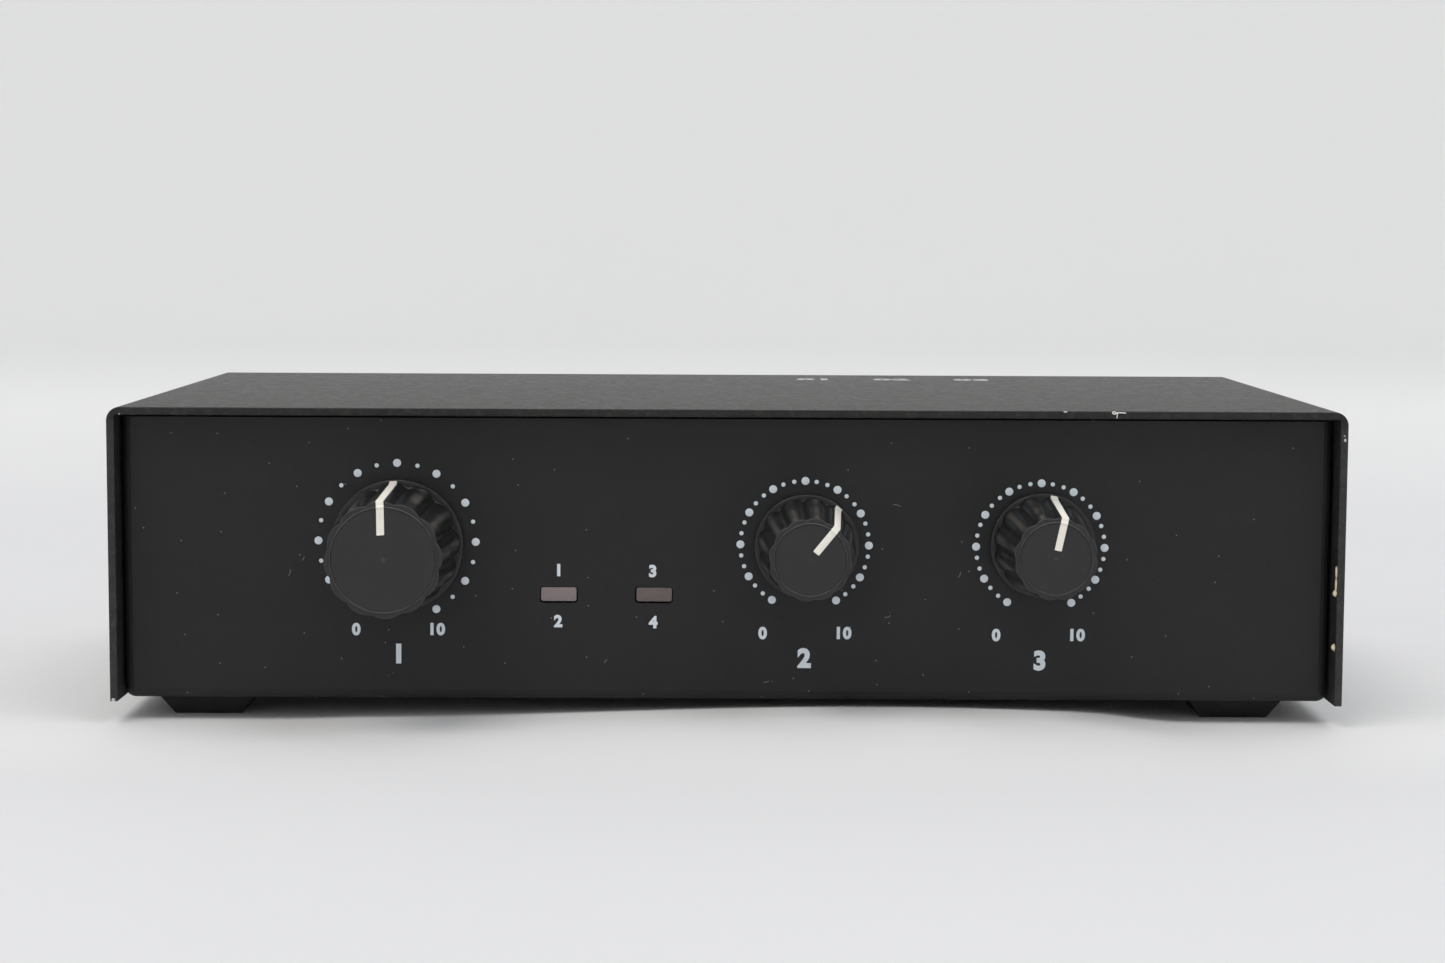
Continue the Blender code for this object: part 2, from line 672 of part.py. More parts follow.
def cut_rear_panel(chassis):
    for spot in PHONO_SPOTS:
        place = rear_place(f"phono_{spot}", PHONO_BODY_HEIGHT)
        hole(chassis, f"phono_hole_{spot}", PHONO_BARREL_RADIUS + SEAT_GAP, place, FACING_REAR)
    place = rear_place("paddle", PADDLE_BODY_HEIGHT)
    hole(chassis, "paddle_hole", PADDLE_NOSE_RADIUS + SEAT_GAP, place, FACING_REAR)
    for name in AUDIO_NAMES:
        place = rear_place(name, AUDIO_BODY_HEIGHT)
        hole(chassis, f"{name}_hole", AUDIO_NOSE_RADIUS + SEAT_GAP, place, FACING_REAR, SMALL_FACETS)
    place = rear_place("power", POWER_BODY_HEIGHT)
    hole(chassis, "power_hole", POWER_NOSE_RADIUS + SEAT_GAP, place, FACING_REAR)
    hole(chassis, "ground_hole", GROUND_STUD_RADIUS + SEAT_GAP, ground_place(), FACING_REAR, SMALL_FACETS)
    usb_outline = rectangle(USB_WIDTH + 2 * SEAT_GAP, USB_HEIGHT + 2 * SEAT_GAP)
    shaped_hole(chassis, "usb_hole", usb_outline, rear_place("usb", USB_HEIGHT), FACING_REAR)
    place = rear_place("radio", RADIO_FLANGE_HEIGHT)
    outline = d_outline(
        RADIO_SHELL_WIDTH + 2 * SEAT_GAP,
        RADIO_SHELL_HEIGHT + 2 * SEAT_GAP,
        RADIO_SHELL_SLANT,
        RADIO_SHELL_CORNER + SEAT_GAP,
    )
    shaped_hole(chassis, "radio_hole", outline, place, FACING_REAR)
    for side, x in jack_screw_offsets().items():
        spot = (place[0] + x, place[1], place[2])
        radius = JACK_SCREW_STUD_RADIUS + SEAT_GAP
        hole(chassis, f"jack_screw_hole_{side}", radius, spot, FACING_REAR, SMALL_FACETS)


def make_foot(name, x, y):
    """A stick-on rubber foot: a square frustum with its lower edges eased."""
    bm = bmesh.new()
    levels = [
        (FOOT_BOTTOM / 2 - FOOT_EDGE, 0),
        (FOOT_BOTTOM / 2, FOOT_EDGE),
        (FOOT_TOP / 2, FOOT_HEIGHT - SEAT_GAP),
    ]
    rings = []
    for half, z in levels:
        outline = rounded_rectangle(2 * half, 2 * half, FOOT_EDGE)
        rings.append([bm.verts.new((px, py, z)) for px, py in outline])
    bm.faces.new(rings[0])
    bm.faces.new(rings[-1])
    for lower, upper in zip(rings, rings[1:]):
        for index in range(len(lower)):
            after = (index + 1) % len(lower)
            bm.faces.new((lower[index], lower[after], upper[after], upper[index]))
    return finish(make_object(name, bm, (x, y, 0)), "rubber")


def make_feet():
    sides = {"left": -CASE_WIDTH / 2 + FOOT_LEFT_INSET, "right": CASE_WIDTH / 2 - FOOT_RIGHT_INSET}
    ends = {"front": PANEL_Y + FOOT_FRONT_INSET, "rear": REAR_Y - FOOT_REAR_INSET}
    for end, y in ends.items():
        for side, x in sides.items():
            make_foot(f"foot_{end}_{side}", x, y)


def make_screw(name, place, turn, kind):
    """A pan head screw: its head stands out from the place, its thread goes in."""
    shoulder = SEAT_GAP + SCREW_HEAD_HEIGHT / 2
    crown = SEAT_GAP + SCREW_HEAD_HEIGHT
    profile = [
        (0, -SCREW_LENGTH),
        (SCREW_RADIUS, -SCREW_LENGTH),
        (SCREW_RADIUS, SEAT_GAP),
        (SCREW_HEAD_RADIUS, SEAT_GAP),
        (SCREW_HEAD_RADIUS, shoulder),
        (SCREW_HEAD_RADIUS * math.cos(math.pi / 6), (shoulder + crown) / 2),
        (SCREW_HEAD_RADIUS / 2, crown),
        (0, crown),
    ]
    screw = turned(name, profile, SMALL_FACETS, place, turn)
    arm, width = SCREW_CROSS_LENGTH / 2, SCREW_CROSS_WIDTH / 2
    cross = []
    for quarter in range(4):
        angle = quarter * math.pi / 2
        for x, y in ((width, width), (width, arm), (-width, arm)):
            turned_x = x * math.cos(angle) - y * math.sin(angle)
            turned_y = x * math.sin(angle) + y * math.cos(angle)
            cross.append((turned_x, turned_y))
    cut(screw, prism(f"{name}_cross", cross, crown - SCREW_CROSS_DEPTH, crown + OVERRUN, place, turn))
    return finish(screw, kind)


def make_cover_screws():
    for spot, place, turn in cover_screw_places():
        make_screw(f"cover_screw_{spot}", place, turn, "black_screw")


def make_board():
    """The circuit board, its four standoffs and the screws that hold it."""
    low = (-BOARD_WIDTH / 2, BOARD_FRONT_Y, BOARD_Z)
    high = (BOARD_WIDTH / 2, BOARD_REAR_Y, BOARD_TOP_Z)
    board = block("main_board", low, high)
    for spot, x, y in standoff_places():
        radius = SCREW_RADIUS + SEAT_GAP
        start = -BOARD_THICKNESS - OVERRUN
        top = (x, y, BOARD_TOP_Z)
        cut(board, rod(f"board_hole_{spot}", radius, start, OVERRUN, SMALL_FACETS, top))
        make_standoff(f"standoff_{spot}", x, y)
        make_screw(f"board_screw_{spot}", (x, y, BOARD_TOP_Z), FACING_UP, "zinc")
    return finish(board, "circuit_board")


def make_standoff(name, x, y):
    """A hexagonal pillar, pressed into the floor by a round pilot."""
    place = (x, y, FLOOR_Z)
    top = SEAT_GAP + STANDOFF_HEIGHT
    pillar = prism(name, hexagon(STANDOFF_ACROSS), SEAT_GAP, top, place)
    join(pillar, rod(f"{name}_pilot", STANDOFF_PILOT_RADIUS, -SHEET, SHEET, ROUND_FACETS, place))
    radius = SCREW_RADIUS + THREAD_GAP
    start = top - STANDOFF_THREAD_DEPTH
    cut(pillar, rod(f"{name}_thread", radius, start, top + OVERRUN, SMALL_FACETS, place))
    return finish(pillar, "nickel")


def knob_radius(lobe_radius, flute_depth, step):
    """The radius at one step round the knob: a broad crest at step 0, then a valley."""
    share = (1 - math.cos(2 * math.pi * step / POINTS_PER_LOBE)) / 2
    return lobe_radius - flute_depth * share**2


def knob_levels(name):
    """Distance from the panel, crest radius and flute depth, from skirt to face."""
    reach, depth = KNOB_REACHES[name], FLUTE_DEPTHS[name]
    skirt_top = KNOB_STANDOFF + SKIRT_THICKNESS
    return [
        (KNOB_STANDOFF, SKIRT_RADII[name], 0),
        (skirt_top, SKIRT_RADII[name], 0),
        (skirt_top, LOBE_BASE_RADII[name], depth),
        (reach - KNOB_CHAMFER, LOBE_FACE_RADII[name], depth),
        (reach, FACE_RADII[name], 0),
    ]


def lobe_radius_at(name, distance):
    """The crest's radius, which narrows evenly from the skirt to the face."""
    start = KNOB_STANDOFF + SKIRT_THICKNESS
    end = KNOB_REACHES[name] - KNOB_CHAMFER
    share = (distance - start) / (end - start)
    return LOBE_BASE_RADII[name] + (LOBE_FACE_RADII[name] - LOBE_BASE_RADII[name]) * share


def knob_shell(name):
    bm = bmesh.new()
    count = KNOB_LOBES * POINTS_PER_LOBE
    rings = []
    for distance, crest, depth in knob_levels(name):
        ring = []
        for step in range(count):
            angle = math.pi / 2 + 2 * math.pi * step / count
            radius = knob_radius(crest, depth, step)
            ring.append(bm.verts.new((radius * math.cos(angle), radius * math.sin(angle), distance)))
        rings.append(ring)
    for lower, upper in zip(rings, rings[1:]):
        for step in range(count):
            after = (step + 1) % count
            bm.faces.new((lower[step], lower[after], upper[after], upper[step]))
    bm.faces.new(rings[0])
    bm.faces.new(rings[-1])
    return make_object(f"{name}_knob", bm)


def shaft_outline(radius, flat_distance, facets):
    """A circle with one flat, on the side away from the pointer."""
    outline = []
    for step in range(facets):
        angle = 2 * math.pi * step / facets
        outline.append((radius * math.cos(angle), max(radius * math.sin(angle), -flat_distance)))
    return outline


def pointer_outline(name, inward, outward, back):
    """The pointer seen from the side, as (distance out from the axis, reach)."""
    skirt_top = KNOB_STANDOFF + SKIRT_THICKNESS + SEAT_GAP - back
    reach, start = KNOB_REACHES[name], POINTER_STARTS[name] - back
    shoulder = reach - KNOB_CHAMFER
    base, crest = lobe_radius_at(name, skirt_top), LOBE_FACE_RADII[name]
    return [
        (start, reach + outward),
        (FACE_RADII[name], reach + outward),
        (crest + outward, shoulder),
        (base + outward, skirt_top),
        (base - inward, skirt_top),
        (crest - inward, shoulder - inward),
        (FACE_RADII[name] - inward, reach - inward),
        (start, reach - inward),
    ]


def pointer_bar(obj_name, outline, width):
    """The pointer's side view, as thick as the line is wide, along own Y and Z."""
    bm = bmesh.new()
    near = [bm.verts.new((-width / 2, out, along)) for out, along in outline]
    far = [bm.verts.new((width / 2, out, along)) for out, along in outline]
    bm.faces.new(near)
    bm.faces.new(far)
    for index in range(len(outline)):
        after = (index + 1) % len(outline)
        bm.faces.new((near[index], near[after], far[after], far[index]))
    return make_object(obj_name, bm)


def make_knob(name, axis):
    """The knob is hollow behind, round the nut, with a D-shaped bore in a boss."""
    knob = knob_shell(name)
    knob.parent = axis
    bore = SHAFT_RADIUS + SEAT_GAP
    flat = SHAFT_RADIUS - SHAFT_FLAT_DEPTH + SEAT_GAP
    ceiling = BUSHING_REACH + WASHER_THICKNESS
    cavity = LOBE_BASE_RADII[name] - FLUTE_DEPTHS[name] - KNOB_WALL
    start = KNOB_STANDOFF - OVERRUN
    cut(knob, rod(f"{name}_knob_cavity", cavity, start, ceiling, ROUND_FACETS))
    tip = KNOB_REACHES[name] - SHAFT_TIP_WALL + SEAT_GAP
    flat_start = KNOB_REACHES[name] - SHAFT_TIP_WALL - SHAFT_FLAT_LENGTH
    cut(knob, rod(f"{name}_knob_bore", bore, start, flat_start, ROUND_FACETS))
    outline = shaft_outline(bore, flat, ROUND_FACETS)
    cut(knob, prism(f"{name}_knob_bore_end", outline, flat_start - SEAT_GAP, tip))
    width = POINTER_WIDTHS[name] + 2 * INLAY_GAP
    groove = pointer_outline(name, POINTER_THICKNESS + INLAY_GAP, OVERRUN, INLAY_GAP)
    cut(knob, pointer_bar(f"{name}_pointer_groove", groove, width))
    return finish(knob, "black_plastic")


def make_pointer(name, axis):
    """The cream line set into the knob's face and down one lobe."""
    outline = pointer_outline(name, POINTER_THICKNESS, POINTER_PROUD, 0)
    pointer = pointer_bar(f"{name}_pointer", outline, POINTER_WIDTHS[name])
    pointer.parent = axis
    return finish(pointer, "cream_plastic")


def make_shaft(name, axis):
    """The shaft, flat on one side where the knob grips it, with its wiper disc."""
    tip = KNOB_REACHES[name] - SHAFT_TIP_WALL
    wiper_front = wiper_front_distance()
    wiper_back = wiper_front - WIPER_THICKNESS
    profile = [
        (0, wiper_back),
        (WIPER_RADIUS, wiper_back),
        (WIPER_RADIUS, wiper_front),
        (SHAFT_RADIUS, wiper_front),
        (SHAFT_RADIUS, tip),
        (0, tip),
    ]
    shaft = turned(f"{name}_shaft", profile, ROUND_FACETS)
    shaft.parent = axis
    flat_start = tip - SHAFT_FLAT_LENGTH
    half = SHAFT_RADIUS + OVERRUN
    low = (-half, -half, flat_start)
    high = (half, -SHAFT_RADIUS + SHAFT_FLAT_DEPTH, tip + OVERRUN)
    cut(shaft, block(f"{name}_shaft_flat", low, high))
    return finish(shaft, "aluminium")


def wiper_front_distance():
    """Where the wiper disc's front lies, behind the housing's front wall."""
    return INSIDE - HOUSING_WALL - SEAT_GAP


def make_control(name, place):
    """The fixed body of a rotary control: housing, threaded bushing and pins."""
    outline = rounded_rectangle(HOUSING_WIDTH, HOUSING_HEIGHT, HOUSING_EDGE)
    back = INSIDE - HOUSING_DEPTH
    control = prism(f"{name}_control", outline, back, INSIDE, place, FACING_FRONT)
    start = back + HOUSING_WALL
    bushing = rod(f"{name}_bushing", BUSHING_RADIUS, start, BUSHING_REACH, ROUND_FACETS, place, FACING_FRONT)
    join(control, bushing)
    board_drop = BOARD_TOP_Z + SEAT_GAP - place[2]
    for index in (-1, 0, 1):
        pin_x = index * CONTROL_PIN_PITCH
        half = CONTROL_PIN_WIDTH / 2
        pin = [(pin_x - half, board_drop), (pin_x + half, board_drop), (pin_x + half, 0), (pin_x - half, 0)]
        pin_back = back + HOUSING_EDGE
        pin_name = f"{name}_pin_{index + 2}"
        join(control, prism(pin_name, pin, pin_back, pin_back + CONTROL_PIN_WIDTH, place, FACING_FRONT))
    wiper_front = wiper_front_distance()
    bore = (SHAFT_RADIUS + RUNNING_GAP) / math.cos(math.pi / ROUND_FACETS)
    room = (WIPER_RADIUS + SEAT_GAP) / math.cos(math.pi / ROUND_FACETS)
    room_back = wiper_front - WIPER_THICKNESS - SEAT_GAP
    cavity = [
        (0, room_back),
        (room, room_back),
        (room, wiper_front + SEAT_GAP),
        (bore, wiper_front + SEAT_GAP),
        (bore, BUSHING_REACH + OVERRUN),
        (0, BUSHING_REACH + OVERRUN),
    ]
    cut(control, turned(f"{name}_control_room", cavity, ROUND_FACETS, place, FACING_FRONT))
    return finish(control, "zinc")


def make_control_hardware(name, place):
    """The washer and the nut that clamp the bushing to the front panel."""
    ring = BUSHING_RADIUS + THREAD_GAP
    washer_front = SEAT_GAP + WASHER_THICKNESS
    profile = [
        (ring, SEAT_GAP),
        (WASHER_RADIUS, SEAT_GAP),
        (WASHER_RADIUS, washer_front),
        (ring, washer_front),
    ]
    finish(turned(f"{name}_washer", profile, ROUND_FACETS, place, FACING_FRONT), "nickel")
    nut_back = washer_front + THREAD_GAP
    nut_front = nut_back + NUT_THICKNESS
    nut = prism(f"{name}_nut", hexagon(NUT_ACROSS), nut_back, nut_front, place, FACING_FRONT)
    start, end = nut_back - OVERRUN, nut_front + OVERRUN
    cut(nut, rod(f"{name}_nut_thread", ring, start, end, ROUND_FACETS, place, FACING_FRONT))
    return finish(nut, "nickel")


def make_controls():
    """Three controls. Shaft, knob and pointer hang on an empty on the joint's axis."""
    for name in KNOB_REACHES:
        place = control_place(name)
        axis = bpy.data.objects.new(f"{name}_axis", None)
        axis.location = place
        axis.rotation_euler = (math.pi / 2, REST_ANGLES[name], 0)
        bpy.context.collection.objects.link(axis)
        make_shaft(name, axis)
        make_knob(name, axis)
        make_pointer(name, axis)
        make_control(name, place)
        make_control_hardware(name, place)


def make_lamp(side):
    """A rectangular lamp: lens in the panel, brim behind it, two bent leads."""
    place = lamp_place(side)
    front, back = -LAMP_RECESS, -LAMP_RECESS - LAMP_LENGTH
    outline = rounded_rectangle(LAMP_WIDTH, LAMP_HEIGHT, LAMP_CORNER)
    lamp = prism(f"{side}_lamp", outline, back, front, place, FACING_FRONT)
    brim = rounded_rectangle(LAMP_WIDTH + 2 * LAMP_BASE_BRIM, LAMP_HEIGHT + 2 * LAMP_BASE_BRIM, LAMP_CORNER)
    brim_front = back + LAMP_BASE_LENGTH
    join(lamp, prism(f"{side}_lamp_brim", brim, back, brim_front, place, FACING_FRONT))
    drop = BOARD_TOP_Z + SEAT_GAP - place[2]
    bend = back - LEAD_SETBACK
    half = LEAD_WIDTH / 2
    for lead, x in {"first": -LEAD_PITCH / 2, "second": LEAD_PITCH / 2}.items():
        bm = bmesh.new()
        path = [
            (half, brim_front),
            (half, bend - LEAD_WIDTH),
            (drop, bend - LEAD_WIDTH),
            (drop, bend),
            (-half, bend),
            (-half, brim_front),
        ]
        near = [bm.verts.new((x - half, up, along)) for up, along in path]
        far = [bm.verts.new((x + half, up, along)) for up, along in path]
        bm.faces.new(near)
        bm.faces.new(far)
        for index in range(len(path)):
            after = (index + 1) % len(path)
            bm.faces.new((near[index], near[after], far[after], far[index]))
        join(lamp, make_object(f"{side}_lamp_{lead}_lead", bm, place, FACING_FRONT))
    return finish(lamp, "lamp_lens")


def socket_body(name, width, height, depth, place):
    """The moulded body of a socket, standing on the board behind the rear panel."""
    return prism(name, rectangle(width, height), INSIDE - depth, INSIDE, place, FACING_REAR)


def make_phono_socket(spot):
    place = rear_place(f"phono_{spot}", PHONO_BODY_HEIGHT)
    name = f"phono_socket_{spot}"
    socket = socket_body(name, PHONO_BODY_WIDTH, PHONO_BODY_HEIGHT, PHONO_BODY_DEPTH, place)
    inner = PHONO_BARREL_RADIUS - PHONO_BARREL_WALL
    recess = PHONO_REACH - PHONO_RIM
    profile = [
        (0, INSIDE - PHONO_RIM),
        (PHONO_BARREL_RADIUS, INSIDE - PHONO_RIM),
        (PHONO_BARREL_RADIUS, PHONO_REACH),
        (inner, PHONO_REACH),
        (inner, recess),
        (PHONO_PIN_HOLE_RADIUS, recess),
        (PHONO_PIN_HOLE_RADIUS, PHONO_REACH - PHONO_PIN_HOLE_DEPTH),
        (0, PHONO_REACH - PHONO_PIN_HOLE_DEPTH),
    ]
    join(socket, turned(f"{name}_barrel", profile, ROUND_FACETS, place, FACING_REAR))
    return finish(socket, "nickel")


def make_paddle_jack():
    place = rear_place("paddle", PADDLE_BODY_HEIGHT)
    jack = socket_body("paddle_jack", PADDLE_BODY_WIDTH, PADDLE_BODY_HEIGHT, PADDLE_BODY_DEPTH, place)
    nose_start = INSIDE - PADDLE_BODY_DEPTH / 2
    nose = rod("paddle_nose", PADDLE_NOSE_RADIUS, nose_start, PADDLE_REACH, ROUND_FACETS, place, FACING_REAR)
    join(jack, nose)
    bore_end = PADDLE_REACH - PADDLE_BORE_DEPTH
    bore_start = PADDLE_REACH + OVERRUN
    bore = rod("paddle_bore", PADDLE_BORE_RADIUS, bore_end, bore_start, ROUND_FACETS, place, FACING_REAR)
    cut(jack, bore)
    finish(jack, "black_plastic")
    end = SEAT_GAP + PADDLE_NUT_THICKNESS
    nut = prism("paddle_nut", hexagon(PADDLE_NUT_ACROSS), SEAT_GAP, end, place, FACING_REAR)
    radius = PADDLE_NOSE_RADIUS + THREAD_GAP
    cut(nut, rod("paddle_nut_thread", radius, -OVERRUN, end + OVERRUN, ROUND_FACETS, place, FACING_REAR))
    return finish(nut, "nickel")


def jack_screw_offsets():
    return {"left": -RADIO_SCREW_SPACING / 2, "right": RADIO_SCREW_SPACING / 2}


def make_radio_socket():
    """A fifteen-way D socket: body, flange and shell, and two jack screws."""
    place = rear_place("radio", RADIO_FLANGE_HEIGHT)
    flange_back = INSIDE - RADIO_FLANGE_THICKNESS
    flange = rounded_rectangle(RADIO_FLANGE_WIDTH, RADIO_FLANGE_HEIGHT, RADIO_SHELL_CORNER / 2)
    socket = prism("radio_socket", flange, flange_back, INSIDE, place, FACING_REAR)
    body = rectangle(RADIO_BODY_WIDTH, RADIO_BODY_HEIGHT)
    body_front = flange_back + RADIO_FLANGE_THICKNESS / 2
    join(socket, prism("radio_body", body, flange_back - RADIO_BODY_DEPTH, body_front, place, FACING_REAR))
    shell = d_outline(RADIO_SHELL_WIDTH, RADIO_SHELL_HEIGHT, RADIO_SHELL_SLANT, RADIO_SHELL_CORNER)
    join(socket, prism("radio_shell", shell, body_front, RADIO_REACH, place, FACING_REAR))
    for row, count in enumerate(RADIO_CONTACT_COUNTS):
        up = RADIO_ROW_PITCH * (row - len(RADIO_CONTACT_COUNTS) / 2 + 1 / 2)
        for index in range(count):
            across = RADIO_CONTACT_PITCH * (index - (count - 1) / 2)
            spot = (place[0] - across, place[1], place[2] + up)
            start, end = RADIO_REACH - RADIO_CONTACT_DEPTH, RADIO_REACH + OVERRUN
            name = f"contact_{row}_{index}"
            cut(socket, rod(name, RADIO_CONTACT_RADIUS, start, end, PIN_FACETS, spot, FACING_REAR))
    for side, x in jack_screw_offsets().items():
        spot = (place[0] + x, place[1], place[2])
        radius = JACK_SCREW_STUD_RADIUS + SEAT_GAP
        start, end = flange_back - OVERRUN, INSIDE + OVERRUN
        cut(socket, rod(f"flange_hole_{side}", radius, start, end, SMALL_FACETS, spot, FACING_REAR))
        make_jack_screw(f"jack_screw_{side}", spot)
    return finish(socket, "black_plastic")


def make_jack_screw(name, place):
    """A hexagonal post with a stud behind and a threaded hole in its end."""
    end = SEAT_GAP + JACK_SCREW_LENGTH
    screw = prism(name, hexagon(JACK_SCREW_ACROSS), SEAT_GAP, end, place, FACING_REAR)
    stud_end = SEAT_GAP + JACK_SCREW_LENGTH - JACK_SCREW_HOLE_DEPTH - JACK_SCREW_HOLE_RADIUS / 2
    stud_start = -JACK_SCREW_STUD_LENGTH
    radius = JACK_SCREW_STUD_RADIUS
    join(screw, rod(f"{name}_stud", radius, stud_start, stud_end, SMALL_FACETS, place, FACING_REAR))
    radius = JACK_SCREW_HOLE_RADIUS
    start = end - JACK_SCREW_HOLE_DEPTH
    cut(screw, rod(f"{name}_thread", radius, start, end + OVERRUN, SMALL_FACETS, place, FACING_REAR))
    return finish(screw, "nickel")


def make_usb_socket():
    place = rear_place("usb", USB_HEIGHT)
    outline = rectangle(USB_WIDTH, USB_HEIGHT)
    socket = prism("usb_socket", outline, USB_REACH - USB_DEPTH, USB_REACH, place, FACING_REAR)
    half, top = USB_PORT_WIDTH / 2, USB_PORT_HEIGHT / 2
    port = [
        (-half, -top),
        (half, -top),
        (half, top - USB_PORT_CHAMFER),
        (half - USB_PORT_CHAMFER, top),
        (USB_PORT_CHAMFER - half, top),
        (-half, top - USB_PORT_CHAMFER),
    ]
    start = USB_REACH - USB_PORT_DEPTH
    cut(socket, prism("usb_port", port, start, USB_REACH + OVERRUN, place, FACING_REAR))
    tongue = rectangle(USB_TONGUE_WIDTH, USB_TONGUE_HEIGHT)
    tongue_end = USB_REACH - USB_TONGUE_RECESS
    join(socket, prism("usb_tongue", tongue, start - USB_TONGUE_RECESS, tongue_end, place, FACING_REAR))
    return finish(socket, "nickel")


def make_audio_jack(name):
    place = rear_place(name, AUDIO_BODY_HEIGHT)
    jack = socket_body(f"{name}_jack", AUDIO_BODY_WIDTH, AUDIO_BODY_HEIGHT, AUDIO_BODY_DEPTH, place)
    nose_start = INSIDE - AUDIO_BODY_DEPTH / 2
    nose = rod(f"{name}_nose", AUDIO_NOSE_RADIUS, nose_start, AUDIO_REACH, SMALL_FACETS, place, FACING_REAR)
    join(jack, nose)
    bore_end = AUDIO_REACH - AUDIO_BORE_DEPTH
    bore_start = AUDIO_REACH + OVERRUN
    bore = rod(f"{name}_bore", AUDIO_BORE_RADIUS, bore_end, bore_start, SMALL_FACETS, place, FACING_REAR)
    cut(jack, bore)
    return finish(jack, "black_plastic")


def make_power_socket():
    place = rear_place("power", POWER_BODY_HEIGHT)
    socket = socket_body("power_socket", POWER_BODY_WIDTH, POWER_BODY_HEIGHT, POWER_BODY_DEPTH, place)
    nose_start = INSIDE - POWER_BODY_DEPTH / 2
    nose = rod("power_nose", POWER_NOSE_RADIUS, nose_start, POWER_REACH, ROUND_FACETS, place, FACING_REAR)
    join(socket, nose)
    bore_end = POWER_REACH - POWER_BORE_DEPTH
    ring = [
        (0, POWER_REACH - POWER_PIN_RECESS),
        (POWER_PIN_RADIUS, POWER_REACH - POWER_PIN_RECESS),
        (POWER_PIN_RADIUS, bore_end),
        (POWER_BORE_RADIUS, bore_end),
        (POWER_BORE_RADIUS, POWER_REACH + OVERRUN),
        (0, POWER_REACH + OVERRUN),
    ]
    cut(socket, turned("power_bore", ring, SMALL_FACETS, place, FACING_REAR))
    return finish(socket, "black_plastic")


def ground_place():
    return (rear_across("ground"), REAR_Y, CASE_Z + CASE_HEIGHT * GROUND_HEIGHT_SHARE)


def make_ground_post():
    """A stud through the rear panel with its head inside and a thumb nut outside."""
    place = ground_place()
    head_back = INSIDE - GROUND_HEAD_HEIGHT
    profile = [
        (0, head_back),
        (GROUND_HEAD_RADIUS, head_back),
        (GROUND_HEAD_RADIUS, INSIDE),
        (GROUND_STUD_RADIUS, INSIDE),
        (GROUND_STUD_RADIUS, GROUND_STUD_REACH),
        (0, GROUND_STUD_REACH),
    ]
    finish(turned("ground_post", profile, SMALL_FACETS, place, FACING_REAR), "brass")
    inner = GROUND_STUD_RADIUS + THREAD_GAP
    eased = GROUND_NUT_RADIUS - GROUND_NUT_CHAMFER
    end = SEAT_GAP + GROUND_NUT_THICKNESS
    nut_profile = [
        (inner, SEAT_GAP),
        (eased, SEAT_GAP),
        (GROUND_NUT_RADIUS, SEAT_GAP + GROUND_NUT_CHAMFER),
        (GROUND_NUT_RADIUS, end - GROUND_NUT_CHAMFER),
        (eased, end),
        (inner, end),
    ]
    return finish(turned("ground_nut", nut_profile, SMALL_FACETS, place, FACING_REAR), "brass")


def make_sockets():
    for spot in PHONO_SPOTS:
        make_phono_socket(spot)
    for name in AUDIO_NAMES:
        make_audio_jack(name)
    make_paddle_jack()
    make_radio_socket()
    make_usb_socket()
    make_power_socket()
    make_ground_post()


def lead_comb(width, depth, leads, along_x):
    """A body's footprint with its leads as flat teeth on two opposite sides."""
    span = width if along_x else depth
    half, edge = span / 2, (depth if along_x else width) / 2
    pitch = span / (leads + 1)
    tooth = pitch * CHIP_LEAD_SHARE / 2
    side = []
    for index in range(leads):
        middle = pitch * (index + 1) - half
        side += [
            (middle - tooth, -edge),
            (middle - tooth, -edge - CHIP_LEAD_REACH),
            (middle + tooth, -edge - CHIP_LEAD_REACH),
            (middle + tooth, -edge),
        ]
    outline = [(-half, -edge), *side, (half, -edge)]
    outline += [(-x, -y) for x, y in outline]
    return outline if along_x else [(-y, x) for x, y in outline]


def make_chip(name, width, depth, height, leads, all_round):
    """A moulded chip with eased edges, on flat leads along two sides or all four."""
    place = board_place(name)
    bottom = CHIP_STANDOFF
    chip = prism(name, rounded_rectangle(width, depth, CHIP_EDGE), bottom, bottom + height, place)
    combs = {"front": True, "side": False} if all_round else {"front": True}
    for comb, along_x in combs.items():
        outline = lead_comb(width - CHIP_EDGE, depth - CHIP_EDGE, leads, along_x)
        join(chip, prism(f"{name}_{comb}_leads", outline, 0, CHIP_LEAD_THICKNESS, place))
    return finish(chip, "black_plastic")


def make_transformer(name):
    """An audio transformer: an upright core with its coil across it."""
    place = board_place(name)
    core_outline = rounded_rectangle(TRANSFORMER_CORE_WIDTH, TRANSFORMER_CORE_DEPTH, TRANSFORMER_EDGE)
    core = prism(name, core_outline, 0, TRANSFORMER_CORE_HEIGHT, place)
    coil_outline = rounded_rectangle(TRANSFORMER_COIL_WIDTH, TRANSFORMER_COIL_DEPTH, TRANSFORMER_EDGE)
    coil_low = (TRANSFORMER_CORE_HEIGHT - TRANSFORMER_COIL_HEIGHT) / 2
    coil_high = coil_low + TRANSFORMER_COIL_HEIGHT
    join(core, prism(f"{name}_coil", coil_outline, coil_low, coil_high, place))
    return finish(core, "ferrite")


def make_relay():
    outline = rounded_rectangle(RELAY_LENGTH, RELAY_WIDTH, RELAY_EDGE)
    relay = prism("keying_relay", outline, 0, RELAY_HEIGHT, board_place("keying_relay"))
    return finish(relay, "blue_plastic")


